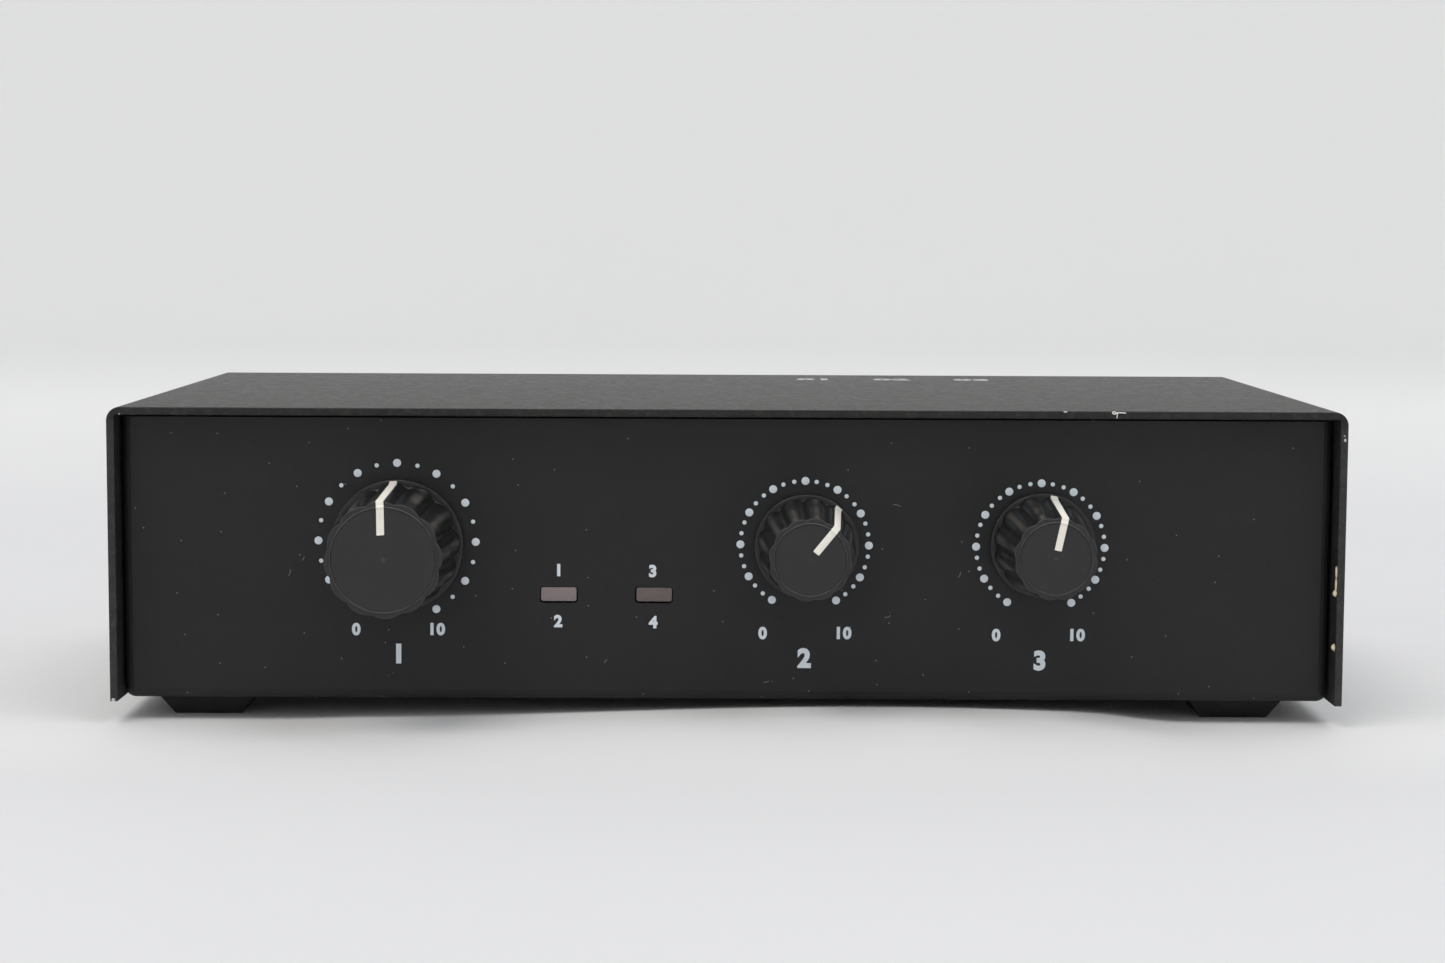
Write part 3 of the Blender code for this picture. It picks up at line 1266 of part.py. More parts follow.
def make_capacitor():
    """An upright can with a crimped groove near its foot."""
    groove_low = CAPACITOR_GROOVE_HEIGHT - CAPACITOR_GROOVE
    groove_high = CAPACITOR_GROOVE_HEIGHT + CAPACITOR_GROOVE
    profile = [
        (0, 0),
        (CAPACITOR_RADIUS, 0),
        (CAPACITOR_RADIUS, groove_low),
        (CAPACITOR_RADIUS - CAPACITOR_GROOVE, CAPACITOR_GROOVE_HEIGHT),
        (CAPACITOR_RADIUS, groove_high),
        (CAPACITOR_RADIUS, CAPACITOR_HEIGHT - CAPACITOR_EDGE),
        (CAPACITOR_RADIUS - CAPACITOR_EDGE, CAPACITOR_HEIGHT),
        (0, CAPACITOR_HEIGHT),
    ]
    capacitor = turned("filter_capacitor", profile, ROUND_FACETS, board_place("filter_capacitor"))
    return finish(capacitor, "aluminium")


def make_crystal():
    """A crystal's metal can with round ends, on a wider brim."""
    place = board_place("crystal")
    can = rounded_rectangle(CRYSTAL_LENGTH, CRYSTAL_WIDTH, CRYSTAL_WIDTH / 2 - CRYSTAL_BRIM / 2)
    crystal = prism("crystal", can, 0, CRYSTAL_HEIGHT, place)
    brim_width = CRYSTAL_WIDTH + 2 * CRYSTAL_BRIM
    brim = rounded_rectangle(CRYSTAL_LENGTH + 2 * CRYSTAL_BRIM, brim_width, CRYSTAL_WIDTH / 2)
    join(crystal, prism("crystal_brim", brim, 0, CRYSTAL_BRIM_HEIGHT, place))
    return finish(crystal, "nickel")


def make_board_parts():
    controller = (CONTROLLER_SIDE, CONTROLLER_SIDE, CONTROLLER_HEIGHT, CONTROLLER_LEADS)
    make_chip("microcontroller", *controller, all_round=True)
    make_chip("usb_chip", USB_CHIP_LENGTH, USB_CHIP_WIDTH, USB_CHIP_HEIGHT, USB_CHIP_LEADS, all_round=False)
    make_transformer("computer_transformer")
    make_transformer("radio_transformer")
    make_relay()
    make_capacitor()
    make_crystal()


def make_keyer():
    clear_scene()
    make_chassis()
    make_cover()
    make_feet()
    make_cover_screws()
    make_board()
    make_controls()
    for side in LAMP_SHARES:
        make_lamp(side)
    make_sockets()
    make_board_parts()


make_keyer()
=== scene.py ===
import math

import bmesh
import bpy
from mathutils import Euler, Matrix, Vector


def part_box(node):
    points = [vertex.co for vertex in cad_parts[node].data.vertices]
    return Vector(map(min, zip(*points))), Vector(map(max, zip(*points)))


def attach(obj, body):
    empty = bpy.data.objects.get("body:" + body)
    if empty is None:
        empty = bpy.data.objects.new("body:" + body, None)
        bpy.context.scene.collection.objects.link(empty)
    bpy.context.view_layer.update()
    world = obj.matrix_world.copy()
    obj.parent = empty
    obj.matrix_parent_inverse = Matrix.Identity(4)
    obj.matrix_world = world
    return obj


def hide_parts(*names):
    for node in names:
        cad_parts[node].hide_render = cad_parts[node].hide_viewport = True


# A black folded-steel morse keyer, seen from the front. All sizes are in metres.

SHARP_ANGLE = math.radians(32)
QUARTER_TURN = math.pi / 2
CIRCLE_STEPS = 48
DOT_STEPS = 24
BEND_STEPS = 10
EDGE_STEPS = 4
EDGE_SHARES = [step / EDGE_STEPS for step in range(EDGE_STEPS + 1)]
THIRDS = (0, 1 / 3, 2 / 3, 1)
SEAT_GAP = 0.0003
BOARD_TOP_Z = 0.0125

# Sheet metal cover
SHEET = 0.0011
OUTER_BEND = 0.0019
INNER_BEND = 0.0003
SHEET_EDGE = 0.00016
SCREW_HOLE_RADIUS = 0.0018

# Cover screws
COVER_SCREWS = [(end, side) for end in ("front", "rear") for side in ("left", "right")]
SCREW_RADIUS = 0.0015
SCREW_TIP_RADIUS = 0.0013
SCREW_TIP = 0.0003
SCREW_ROOT = 0.00128
SCREW_PITCH = 0.0005
SCREW_LAND = 0.15
HEAD_EDGE = 0.0001
HEAD_SIDE = 0.0006
HEAD_STEPS = 8
HEAD_FULLNESS = 0.75
CROSS_ARM = 0.0016
CROSS_HALF_WIDTH = 0.00038
CROSS_DEPTH = 0.0009
CROSS_CLEARANCE = 0.001
CROSS_TURNS = {"front": 0.31, "rear": 1.09}

# Knobs: radii, depths of the flutes, and width, start and skew of the pointer line
SMALL_KNOB = {
    "skirt": 0.00730,
    "base": 0.00678,
    "crest": 0.00568,
    "rim": 0.00496,
    "flute": 0.00042,
    "face_flute": 0.00030,
    "line": 0.00100,
    "line_start": 0.00112,
    "line_skew": (0.0, 0.0),
}
LARGE_KNOB = {
    "skirt": 0.00920,
    "base": 0.00868,
    "crest": 0.00796,
    "rim": 0.00716,
    "flute": 0.00060,
    "face_flute": 0.00042,
    "line": 0.00106,
    "line_start": 0.00335,
    "line_skew": (-0.00010, 0.00013),
}
KNOBS = {
    "speed": (LARGE_KNOB, math.radians(-4)),
    "computer": (SMALL_KNOB, math.radians(39)),
    "radio": (SMALL_KNOB, math.radians(12)),
}
LOBES = 12
COLUMNS_PER_LOBE = 14
KNOB_COLUMNS = LOBES * COLUMNS_PER_LOBE
KNOB_STANDOFF = 0.0008
SKIRT_THICKNESS = 0.0009
SKIRT_EASE = 0.00010
# The skirt's top edge: wear with a painted highlight
SKIRT_WEAR_AND_HIGHLIGHT = 0.70
KNOB_STEP = 0.00018
KNOB_EASE = 0.00013
KNOB_WALL = 0.0007
KNOB_CEILING = 0.0041
BORE_RADIUS = 0.0033
BORE_END_WALL = 0.0019
RIM_WIDTH = 0.00014
RIM_DROP = 0.00018
RIM_EASE = 0.00004
FLANK_LEVELS = 10
FLANK_SINK = 0.00002
FLANK_FOOT = 0.00012
FLANK_ENDS = 0.00018
FOOT_FILLET = 0.00006
LINE_PROUD = 0.00004
LINE_DEPTH = 0.00040
LINE_EASE = 0.00008
LINE_CORNER = 0.00010

# Lamps
LAMP_SIZE = (0.0050, 0.0020)
LAMP_CORNER = 0.0003
LAMP_EASE = 0.00012
LAMP_RECESS = 0.00005
LAMP_SHIFTS = {"left": (0.00000, 0.00007), "right": (0.00004, 0.00007)}
LAMP_LENGTH = 0.0068
LAMP_BRIM = 0.0004
LAMP_BRIM_LENGTH = 0.0014
LEAD_WIDTH = 0.0005
LEAD_PITCH = 0.00254
LEAD_SETBACK = 0.0016
LENS_COLOURS = {"left": (0.215, 0.176, 0.178), "right": (0.121, 0.097, 0.093)}

# Print on the panel: places from the case's middle and its lower edge
PRINT_THICKNESS = 0.00002
PRINT_TURN = math.radians(-0.3)
SCALES = {
    "speed": {"middle": (-0.04618, 0.02232), "radius": 0.0110, "between": 1},
    "computer": {"middle": (0.01087, 0.02204), "radius": 0.0090, "between": 2},
    "radio": {"middle": (0.04389, 0.02185), "radius": 0.0090, "between": 2},
}
SCALE_START = -150
SCALE_END = 150
SCALE_STEP = 30
LARGE_DOT = 0.00056
SMALL_DOT = 0.00030
SMALL_DIGITS = 0.00155
CAPTION_DIGITS = 0.0025
PANEL_NUMBERS = (
    ("0", (-0.05199, 0.00988), SMALL_DIGITS),
    ("10", (-0.04055, 0.00993), SMALL_DIGITS),
    ("0", (0.00506, 0.00956), SMALL_DIGITS),
    ("10", (0.01650, 0.00961), SMALL_DIGITS),
    ("0", (0.03786, 0.00942), SMALL_DIGITS),
    ("10", (0.04931, 0.00947), SMALL_DIGITS),
    ("1", (-0.04605, 0.00644), CAPTION_DIGITS),
    ("2", (0.01092, 0.00604), CAPTION_DIGITS),
    ("3", (0.04402, 0.00582), CAPTION_DIGITS),
    ("1", (-0.02357, 0.01835), SMALL_DIGITS),
    ("2", (-0.02365, 0.01114), SMALL_DIGITS),
    ("3", (-0.01040, 0.01826), SMALL_DIGITS),
    ("4", (-0.01032, 0.01105), SMALL_DIGITS),
)
TOP_NUMBERS = (("01", 0.01425), ("02", 0.02737), ("03", 0.04050))
TOP_DIGITS = 0.0038
TOP_SETBACK = 0.0129

# Digits: their share of the font's size, how much bolder and how much wider set they are
DIGIT_SHARE = 0.70
DIGIT_SPREAD = 0.075
DIGIT_SPACING = 1.12
DIGIT_CURVE_STEPS = 8

# Rear sockets. A body is its width, height and depth; a point of a profile is a radius, a
# height above the panel and the material of the band that ends there; a thread is its start,
# end, crest, root and pitch; a seat and a hole are a radius, two ends and the circle's steps.
PANEL_INSIDE = -SHEET - SEAT_GAP
BODY_EASE = 0.0003
HEX_CHAMFER = 0.0004
HEX_CONE = 1.01
HEX_CONE_FALL = 0.03
HEX_SIDE_POINTS = 6
HOLE_EASE = 0.0002
PHONO_BODY = (0.0098, 0.0120, 0.0110)
PHONO_PROFILE = (
    (0, -0.0021, 0),
    (0.00415, -0.0021, 0),
    (0.00415, 0.0004, 0),
    (0.0039, 0.0006, 0),
    (0.0039, 0.0014, 0),
    (0.00415, 0.0016, 0),
    (0.00415, 0.00938, 0),
    (0.004114, 0.009464, 0),
    (0.00403, 0.0095, 0),
    (0.00367, 0.0095, 0),
    (0.00355, 0.00938, 0),
    (0.00355, 0.0085, 0),
    (0.00353, 0.0085, 2),
    (0.0027, 0.0085, 2),
    (0.0026, 0.0087, 2),
    (0.0021, 0.0087, 2),
    (0.0020, 0.0086, 2),
    (0.0016, 0.0086, 2),
    (0.0016, 0.0035, 3),
    (0, 0.0035, 3),
)
PADDLE_BODY = (0.0160, 0.0160, 0.0240)
PADDLE_BARREL = ((0.0033, -0.0196), (0.0047, -0.0196), (0.0047, 0.0))
PADDLE_THREAD = (0.0, 0.0030, 0.0047, 0.00445, 0.0006)
PADDLE_RIM = ((0.00455, 0.0032), (0.0044, 0.0034), (0.0036, 0.0034), (0.0033, 0.0031))
PADDLE_NUT_ACROSS = 0.0127
PADDLE_NUT_HEIGHT = 0.0021
PADDLE_NUT_BORE = 0.0048
AUDIO_BODY = (0.0066, 0.0070, 0.0125)
AUDIO_PROFILE = (
    (0.0018, -0.0109, 0),
    (0.0029, -0.0109, 0),
    (0.0029, 0.00035, 0),
    (0.00275, 0.0006, 0),
    (0.0024, 0.0006, 0),
    (0.00235, 0.0004, 0),
    (0.0021, 0.0004, 1),
    (0.00195, 0.0005, 1),
    (0.0018, 0.0003, 1),
)
POWER_BODY = (0.0078, 0.0110, 0.0140)
POWER_SEAT = (0.0038, -0.0090, 0.0002, 32)
POWER_PROFILE = (
    (0, -0.0089, 0),
    (0.0037, -0.0089, 0),
    (0.0037, 0.0003, 0),
    (0.0035, 0.0006, 0),
    (0.0030, 0.0006, 0),
    (0.0029, 0.0004, 0),
    (0.0029, -0.0085, 1),
    (0.00105, -0.0085, 0),
    (0.00105, -0.0006, 1),
    (0.0008, -0.0002, 1),
    (0, -0.0002, 1),
)

# D socket: outlines are a width, a height and a corner; its shell and its core are insets,
# corners and heights
D_FLANGE = (0.0390, 0.0122, 0.0011)
D_FLANGE_THICKNESS = 0.0010
D_WIDTH = 0.0250
D_HEIGHT = 0.0083
D_CORNER = 0.0022
D_SLANT = 0.0008
D_CORNER_STEPS = 6
D_SHELL = ((0, 0.0042), (0.0003, 0.0044), (0.0008, 0.0044), (0.0010, 0.0042))
D_CORE = ((0.0012, 0.0016, 0.0040), (0.0015, 0.00145, 0.0041))
D_BACK = (0.0270, 0.0104, 0.0005)
D_BACK_DEPTH = 0.0095
D_ROWS = (7, 8)
D_ROW_PITCH = 0.00284
D_CONTACT_PITCH = 0.00277
D_CONTACT = (0.0005, 0.0010, 0.0060, 16)
D_SCREW_SPACING = 0.0333
D_SCREW_HOLE = (0.0016, -0.006, 0.0, 24)
JACK_SCREW_ACROSS = 0.0047
JACK_SCREW_HEIGHT = 0.0050
JACK_SCREW_HOLE = 0.0012
JACK_SCREW_HOLE_DEPTH = 0.0036
JACK_SCREW_STUD = (0.0013, -0.0040)

# USB socket
USB_SIZE = (0.0120, 0.0110, 0.0165)
USB_REACH = 0.0006
USB_CORNER = 0.0005
USB_EASE = 0.0001
USB_PORT = (0.00845, 0.0078)
USB_PORT_BEVEL = 0.0015
USB_PORT_DEPTH = 0.0090
USB_PORT_CLEARANCE = 0.002
USB_TONGUE = ((0.0056, 0.0032, 0.0003), (0.0053, 0.0029, 0.0002))
USB_TONGUE_RECESSES = (0.0010, 0.0008)
USB_CONTACT_ACROSS = 0.00125
USB_CONTACT_UP = 0.0016
USB_CONTACT_HALVES = (0.0005, 0.00006)
USB_CONTACT_ENDS = (0.0080, 0.0014)

# Ground post: its head from the panel's inner face, its thread's crest, root and pitch, and
# rows of its ridged nut: a radius, a height above the seat and the ridges' depth
GROUND_HEAD = ((0, -0.0020), (0.0032, -0.0020), (0.0034, -0.0018), (0.0034, 0), (0.0020, 0))
GROUND_THREAD_END = 0.0086
GROUND_THREAD = (0.0020, 0.0018, 0.0007)
GROUND_TIP = ((0.0020, 0.0087), (0.0018, 0.0090), (0, 0.0090))
GROUND_RIDGES = 36
GROUND_RIDGE_POINTS = 4
GROUND_NUT = (
    (0.0021, 0, 0),
    (0.0036, 0, 0),
    (0.0042, 0.0005, 0.00014),
    (0.0042, 0.0043, 0.00014),
    (0.0036, 0.0048, 0),
    (0.0026, 0.0048, 0),
    (0.0021, 0.0045, 0),
)

# Studio bowl: radii of its rings, its bend and wall, and the arch between the front feet
FLOOR_RINGS = [0.004 * step for step in range(40)] + [0.17, 0.2, 0.25, 0.32, 0.42, 0.6, 0.85, 1.15]
FLOOR_STEPS = 120
BOWL_BEND = 0.45
BOWL_BEND_STEPS = 16
BOWL_WALL = 1.3
SWELL_MIDDLE = (0.020, -0.045)
SWELL_WIDTH = 0.052
SWELL_DEPTH = 0.022
SWELL_HEIGHT = 0.0026
SWELL_END = 0.066
SWELL_FADE = 0.016

# Light: place, size, power and colour of each lamp, which all point at the origin
LIGHTS = {
    "key": ((-0.42, -0.55, 1.2), (0.8, 0.55), 5.0, (1.0, 0.97, 0.92)),
    "fill": ((0.62, -0.45, 1.15), (0.8, 0.55), 2.6, (0.97, 0.985, 1.0)),
    "top": ((0.1, 0.35, 1.3), (1.4, 1.0), 3.5, (1.0, 1.0, 1.0)),
}
SKY_COLOUR = (0.97, 0.985, 1.0, 1)
SKY_STRENGTH = 0.545

# The camera's place is from the panel and the case's lower edge
CAMERA_PLACE = (-0.00191, -0.3928, 0.06721)
CAMERA_LENS = 70.33
CAMERA_SENSOR = 36
CAMERA_YAW = math.radians(0.18)
CAMERA_PITCH = math.radians(5.28)
CAMERA_ROLL = math.radians(0.27)

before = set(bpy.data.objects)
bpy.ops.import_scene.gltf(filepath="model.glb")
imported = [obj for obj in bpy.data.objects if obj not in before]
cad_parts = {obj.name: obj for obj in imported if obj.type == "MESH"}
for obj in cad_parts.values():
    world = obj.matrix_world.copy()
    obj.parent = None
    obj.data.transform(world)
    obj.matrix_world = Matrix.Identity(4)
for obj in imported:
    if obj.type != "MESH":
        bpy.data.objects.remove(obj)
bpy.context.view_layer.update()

# Places taken from the solids
chassis_low, chassis_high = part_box("chassis")
cover_low, cover_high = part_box("cover")
PANEL_Y = chassis_low.y
REAR_Y = chassis_high.y
CASE_Z = cover_low.z
CASE_TOP_Z = CASE_Z + (cover_high.z - cover_low.z)
COVER_FRONT = cover_low.y
CASE_HALF = cover_high.x
CASE_HEIGHT = cover_high.z - cover_low.z
CASE_DEPTH = cover_high.y - cover_low.y
INNER_X = CASE_HALF - SHEET

# Chips in the coating: place, size, stretch and what shows in them
PRIMER = (0.62, 0.55, 0.38, 1)
STEEL = (0.55, 0.55, 0.54, 1)
CHIPS = (
    ((INNER_X, COVER_FRONT + 0.00075, CASE_Z + 0.0162), 0.00048, (1, 1, 0.90), PRIMER),
    ((INNER_X, COVER_FRONT + 0.00085, CASE_Z + 0.0081), 0.00050, (1, 1, 0.80), PRIMER),
    ((CASE_HALF - 0.00046, COVER_FRONT, CASE_Z + 0.0373), 0.00020, (1, 1, 0.75), STEEL),
    ((CASE_HALF - 0.00056, COVER_FRONT, CASE_Z + 0.0379), 0.00012, (1, 1, 1), STEEL),
    ((-CASE_HALF + 0.00186, COVER_FRONT, CASE_Z + 0.0402), 0.00012, (1, 1, 1), STEEL),
    ((-CASE_HALF + 0.00045, COVER_FRONT, CASE_Z + 0.0002), 0.00030, (1, 1, 1), STEEL),
    ((0.0467, COVER_FRONT + 0.0001, CASE_TOP_Z - 0.0001), 0.00020, (0.6, 1, 1), STEEL),
)

# Flakes of filler on the right wall's inner side: height, depth behind the front edge, half sizes
FLAKES = (
    (0.0189, 0.00025, (0.00014, 0.00025, 0.00080)),
    (0.0171, 0.00030, (0.00014, 0.00025, 0.00095)),
    (0.0159, 0.00035, (0.00030, 0.00030, 0.00045)),
    (0.0083, 0.00050, (0.00032, 0.00030, 0.00042)),
)
FLAKE_SINK = 0.6

# A curl of lint on the cover's front edge: a leaning loop and two wavy tails, from its knot
CURL_PLACE = (0.05386, CASE_HEIGHT - 0.00023)
CURL_RADIUS = 0.00007
TUBE_SIDES = 8
CURL_MIDDLE = -0.00040
CURL_LOOP = (0.00024, 0.00016)
CURL_LEAN = 0.3
CURL_STEPS = 20
CURL_TAIL = 0.00120
CURL_TAIL_SHARES = (-0.12, 0.1, 0.35, 0.6, 0.8, 1.0)
CURL_TAIL_WAVE = 0.00003
CURL_DROP = 0.00075
CURL_DROP_SHARES = (0.0, 0.3, 0.6, 0.8, 1.0)
CURL_DROP_WAVE = 0.00002
CURL_DROP_THIN = 0.8

# Lint on the panel: place, length, turn and curve of each hair, and places of crumbs
LINT = (
    (0.02258, CASE_Z + 0.01190, 0.0011, 0.3, 300),
    (0.02375, CASE_Z + 0.02772, 0.0013, -0.25, -260),
    (0.03268, CASE_Z + 0.01789, 0.0010, 1.2, 500),
    (-0.06120, CASE_Z + 0.01780, 0.0012, 1.3, 420),
    (-0.05930, CASE_Z + 0.01980, 0.0007, 1.1, 300),
    (0.00560, CASE_Z + 0.00260, 0.0009, 0.2, 350),
    (-0.01700, CASE_Z + 0.00550, 0.0008, 0.9, -350),
)
LINT_EDGE = (0.00003, 0.00008)
LINT_FULL_SHARE = 0.35
CRUMBS = ((0.02330, CASE_Z + 0.01210), (-0.04700, CASE_Z + 0.00330), (0.00640, CASE_Z + 0.00250))
PATCH_RAGGED = 0.35
PATCH_SOFT = 0.35


class Finish:
    """A material whose nodes are added one by one, with its colour so far as its shade."""

    def __init__(self, name, metallic=0.0, specular=0.5):
        self.material = bpy.data.materials.new(name)
        self.material.use_nodes = True
        self.tree = self.material.node_tree
        self.shader = self.tree.nodes["Principled BSDF"]
        self.feed(self.shader, {"Metallic": metallic, "Specular IOR Level": specular})
        self.place = self.node("ShaderNodeTexCoord").outputs["Object"]
        self.shade = None

    def feed(self, node, inputs):
        """Links or sets some of a node's inputs."""
        for key, value in inputs.items():
            if isinstance(value, bpy.types.NodeSocket):
                self.tree.links.new(value, node.inputs[key])
            else:
                node.inputs[key].default_value = value

    def node(self, kind, inputs=None, **settings):
        node = self.tree.nodes.new(kind)
        for key, value in settings.items():
            setattr(node, key, value)
        self.feed(node, inputs or {})
        return node

    def math(self, operation, *values):
        return self.node("ShaderNodeMath", dict(enumerate(values)), operation=operation).outputs[0]

    def times(self, first, second):
        return self.math("MULTIPLY", first, second)

    def vector(self, operation, *values):
        return self.node("ShaderNodeVectorMath", dict(enumerate(values)), operation=operation)

    def length(self, vector):
        return self.vector("LENGTH", vector).outputs["Value"]

    def noise(self, size, detail=3.0, rough=0.55, stretch=None):
        """Noise whose features are about size metres across."""
        place = self.place
        if stretch:
            place = self.node("ShaderNodeMapping", {"Vector": place, "Scale": stretch}).outputs[0]
        inputs = {"Vector": place, "Scale": 1 / size, "Detail": detail, "Roughness": rough}
        return self.node("ShaderNodeTexNoise", inputs).outputs["Fac"]

    def cells(self, size, plane=None):
        """Distance to the nearest of many points, in cell widths, and a random value of each."""
        flat = plane is not None
        inputs = {"Vector": plane if flat else self.place, "Scale": 1 / size}
        kind = "2D" if flat else "3D"
        node = self.node("ShaderNodeTexVoronoi", inputs, voronoi_dimensions=kind)
        return node.outputs["Distance"], node.outputs["Color"]

    def ramp(self, value, low, high, start=0.0, end=1.0):
        """Eases from start to end while a value goes from low to high."""
        node = self.node("ShaderNodeMapRange", {"Value": value}, interpolation_type="SMOOTHSTEP")
        self.feed(node, {"From Min": low, "From Max": high, "To Min": start, "To Max": end})
        return node.outputs["Result"]

    def uneven(self, size, low, high, detail=3.0, rough=0.55):
        """A value that drifts between low and high."""
        return self.ramp(self.noise(size, detail, rough), 0.3, 0.7, low, high)

    def mix(self, share, first, second):
        inputs = {"Factor": share, "A": first, "B": second}
        return self.node("ShaderNodeMix", inputs, data_type="RGBA").outputs["Result"]

    def vary(self, share, colour, low, high):
        """Sets the shade: a colour between its tints low and high."""
        self.shade = self.mix(share, tint(colour, low), tint(colour, high))

    def lay(self, share, colour, strength=None):
        """Lays another colour over the shade."""
        share = self.times(share, strength) if strength else share
        self.shade = self.mix(share, self.shade, colour)

    def axis(self, name, place=None):
        return self.node("ShaderNodeSeparateXYZ", {0: place or self.place}).outputs[name]

    def facing(self, name):
        """How far the surface faces along an axis."""
        return self.axis(name, self.node("ShaderNodeNewGeometry").outputs["Normal"])

    def layer(self, name):
        """A value that the mesh's vertices carry."""
        return self.node("ShaderNodeAttribute", attribute_name=name).outputs["Fac"]

    def plane(self, across, up):
        """Coordinates in a plane, for marks that lie on a flat side."""
        return self.node("ShaderNodeCombineXYZ", {0: across, 1: up}).outputs[0]

    def near(self, spot, radius, stretch=(1, 1, 1)):
        """1 within a ragged patch round a spot, and 0 outside it."""
        shift = self.vector("SUBTRACT", self.place, spot).outputs[0]
        length = self.length(self.vector("MULTIPLY", shift, stretch).outputs[0])
        ragged = PATCH_RAGGED * radius
        wobble = self.math("MULTIPLY_ADD", self.noise(radius * 0.8), ragged * 2, -ragged)
        distance = self.math("ADD", length, wobble)
        return self.ramp(distance, radius * (1 - PATCH_SOFT), radius, 1.0, 0.0)

    def hair(self, x, z, length, turn, bow):
        """1 along a thin curved hair that lies on the panel, and 0 beside it."""
        across = self.math("SUBTRACT", self.axis("X"), x)
        up = self.math("SUBTRACT", self.axis("Z"), z)
        cos, sin = math.cos(turn), math.sin(turn)
        along = self.math("ADD", self.times(across, cos), self.times(up, sin))
        aside = self.math("SUBTRACT", self.times(up, cos), self.times(across, sin))
        curve = self.times(self.times(along, along), bow)
        gap = self.math("ABSOLUTE", self.math("SUBTRACT", aside, curve))
        width = self.ramp(gap, *LINT_EDGE, 1.0, 0.0)
        far = self.math("ABSOLUTE", along)
        reach = self.ramp(far, length * LINT_FULL_SHARE, length / 2, 1.0, 0.0)
        return self.times(width, reach)

    def specks(self, size, radius, amount, plane=None):
        """Sparse dust: small spots at some of a cell pattern's points."""
        distance, chance = self.cells(size, plane)
        spot = self.ramp(distance, radius / size * 0.4, radius / size, 1.0, 0.0)
        return self.times(spot, self.math("GREATER_THAN", self.axis("X", chance), 1 - amount))

    def bump(self, height, depth):
        return self.node("ShaderNodeBump", {"Height": height, "Distance": depth}).outputs[0]

    def finish(self, roughness, normal):
        inputs = {"Base Color": self.shade, "Roughness": roughness, "Normal": normal}
        self.feed(self.shader, inputs)
        return self.material


def tint(colour, share):
    """A colour made lighter or darker, as red, green, blue and alpha."""
    return (colour[0] * share, colour[1] * share, colour[2] * share, 1)


def plain_finish(name, colour, roughness, grain, depth, spread=0.18, patch=0.012, dust=0.0):
    """A finish with fine grain, slow changes of colour and gloss, and a little dust."""
    look = Finish(name)
    slow = look.noise(patch, 3)
    fine = look.noise(grain, 4, 0.6)
    look.vary(slow, colour, 1 - spread, 1 + spread)
    look.lay(look.ramp(fine, 0.45, 0.75), tint(colour, 1 + spread / 2))
    if dust:
        look.lay(look.specks(0.0031, 0.00012, dust), (0.42, 0.40, 0.37, 1))
    gloss = look.uneven(patch / 3, roughness - 0.07, roughness + 0.07, 4, 0.6)
    return look.finish(gloss, look.bump(fine, depth))


def powder_coat():
    """Black textured coating: grain with dust and painted glints that show most on top, painted
    shade along the front edge's top, rubbed edges and a few chips.
    """
    look = Finish("powder_coat", specular=0.38)
    colour = (0.0178, 0.0170, 0.0166)
    coarse = look.noise(0.00036, 3, 0.6)
    fine = look.noise(0.00017, 2, 0.5)
    slow = look.noise(0.019, 3)
    look.vary(slow, colour, 0.94, 1.06)
    look.lay(look.ramp(coarse, 0.56, 0.72), tint(colour, 2.4))
    # Pale grain on upward-facing sides: dust, and painted glints of the grain that are brightest on
    # top
    up = look.ramp(look.facing("Z"), 0.3, 0.9, 0.12, 1.0)
    dust_and_glint_grains = look.ramp(look.noise(0.00060, 2, 0.65, stretch=(1, 0.7, 1)), 0.50, 0.68)
    dust_and_glint_veil = look.times(up, look.math("MULTIPLY_ADD", dust_and_glint_grains, 0.42, 0.08))
    look.lay(dust_and_glint_veil, (0.158, 0.143, 0.131, 1))

    # The edge that faces the camera: painted shade along its top, and rubbed here and there
    lip = look.ramp(look.axis("Y"), COVER_FRONT + 0.00004, COVER_FRONT + 0.00030, 1.0, 0.0)
    lip_painted_shade = look.times(lip, look.ramp(look.axis("Z"), CASE_TOP_Z - 0.0026, CASE_TOP_Z - 0.0016))
    look.lay(lip_painted_shade, (0.002, 0.002, 0.002, 1), 0.40)
    look.feed(look.shader, {"Specular IOR Level": look.ramp(lip_painted_shade, 0.0, 1.0, 0.38, 0.30)})
    rub = look.times(lip, look.ramp(look.noise(0.0011, 4, 0.65), 0.46, 0.70))
    look.lay(rub, (0.070, 0.068, 0.066, 1), 0.22)

    look.lay(look.specks(0.0042, 0.00016, 0.16), (0.34, 0.33, 0.30, 1))
    for spot, radius, stretch, under in CHIPS:
        look.lay(look.near(spot, radius, stretch), under)
    gloss = look.uneven(0.0016, 0.42, 0.52, 4, 0.6)
    height = look.math("MULTIPLY_ADD", fine, 0.45, coarse)
    return look.finish(gloss, look.bump(height, 0.000150))


def panel_paint():
    """Smooth satin black paint with specks of dust and a few bits of lint."""
    look = Finish("panel_paint", specular=0.26)
    colour = (0.0150, 0.0150, 0.0158)
    look.vary(look.noise(0.034, 3), colour, 0.85, 1.15)
    plane = look.plane(look.axis("X"), look.axis("Z"))
    dust = look.specks(0.0058, 0.00011, 0.40, plane)
    faint = look.specks(0.0019, 0.00009, 0.32, plane)
    look.lay(faint, (0.34, 0.33, 0.32, 1), 0.09)
    look.lay(dust, (0.50, 0.46, 0.40, 1), 0.60)
    hairs = [look.hair(*hair) for hair in LINT]
    tangle = hairs[0]
    for hair in hairs[1:]:
        tangle = look.math("MAXIMUM", tangle, hair)
    look.lay(tangle, (0.46, 0.43, 0.38, 1), 0.34)
    for x, z in CRUMBS:
        crumbs = look.specks(0.00055, 0.00008, 0.55, plane)
        patch = look.times(crumbs, look.near((x, PANEL_Y, z), 0.00075))
        look.lay(patch, (0.52, 0.47, 0.38, 1), 0.40)
    fine = look.noise(0.00022, 3, 0.5)
    return look.finish(look.uneven(0.011, 0.40, 0.50, 4, 0.6), look.bump(fine, 0.0000035))


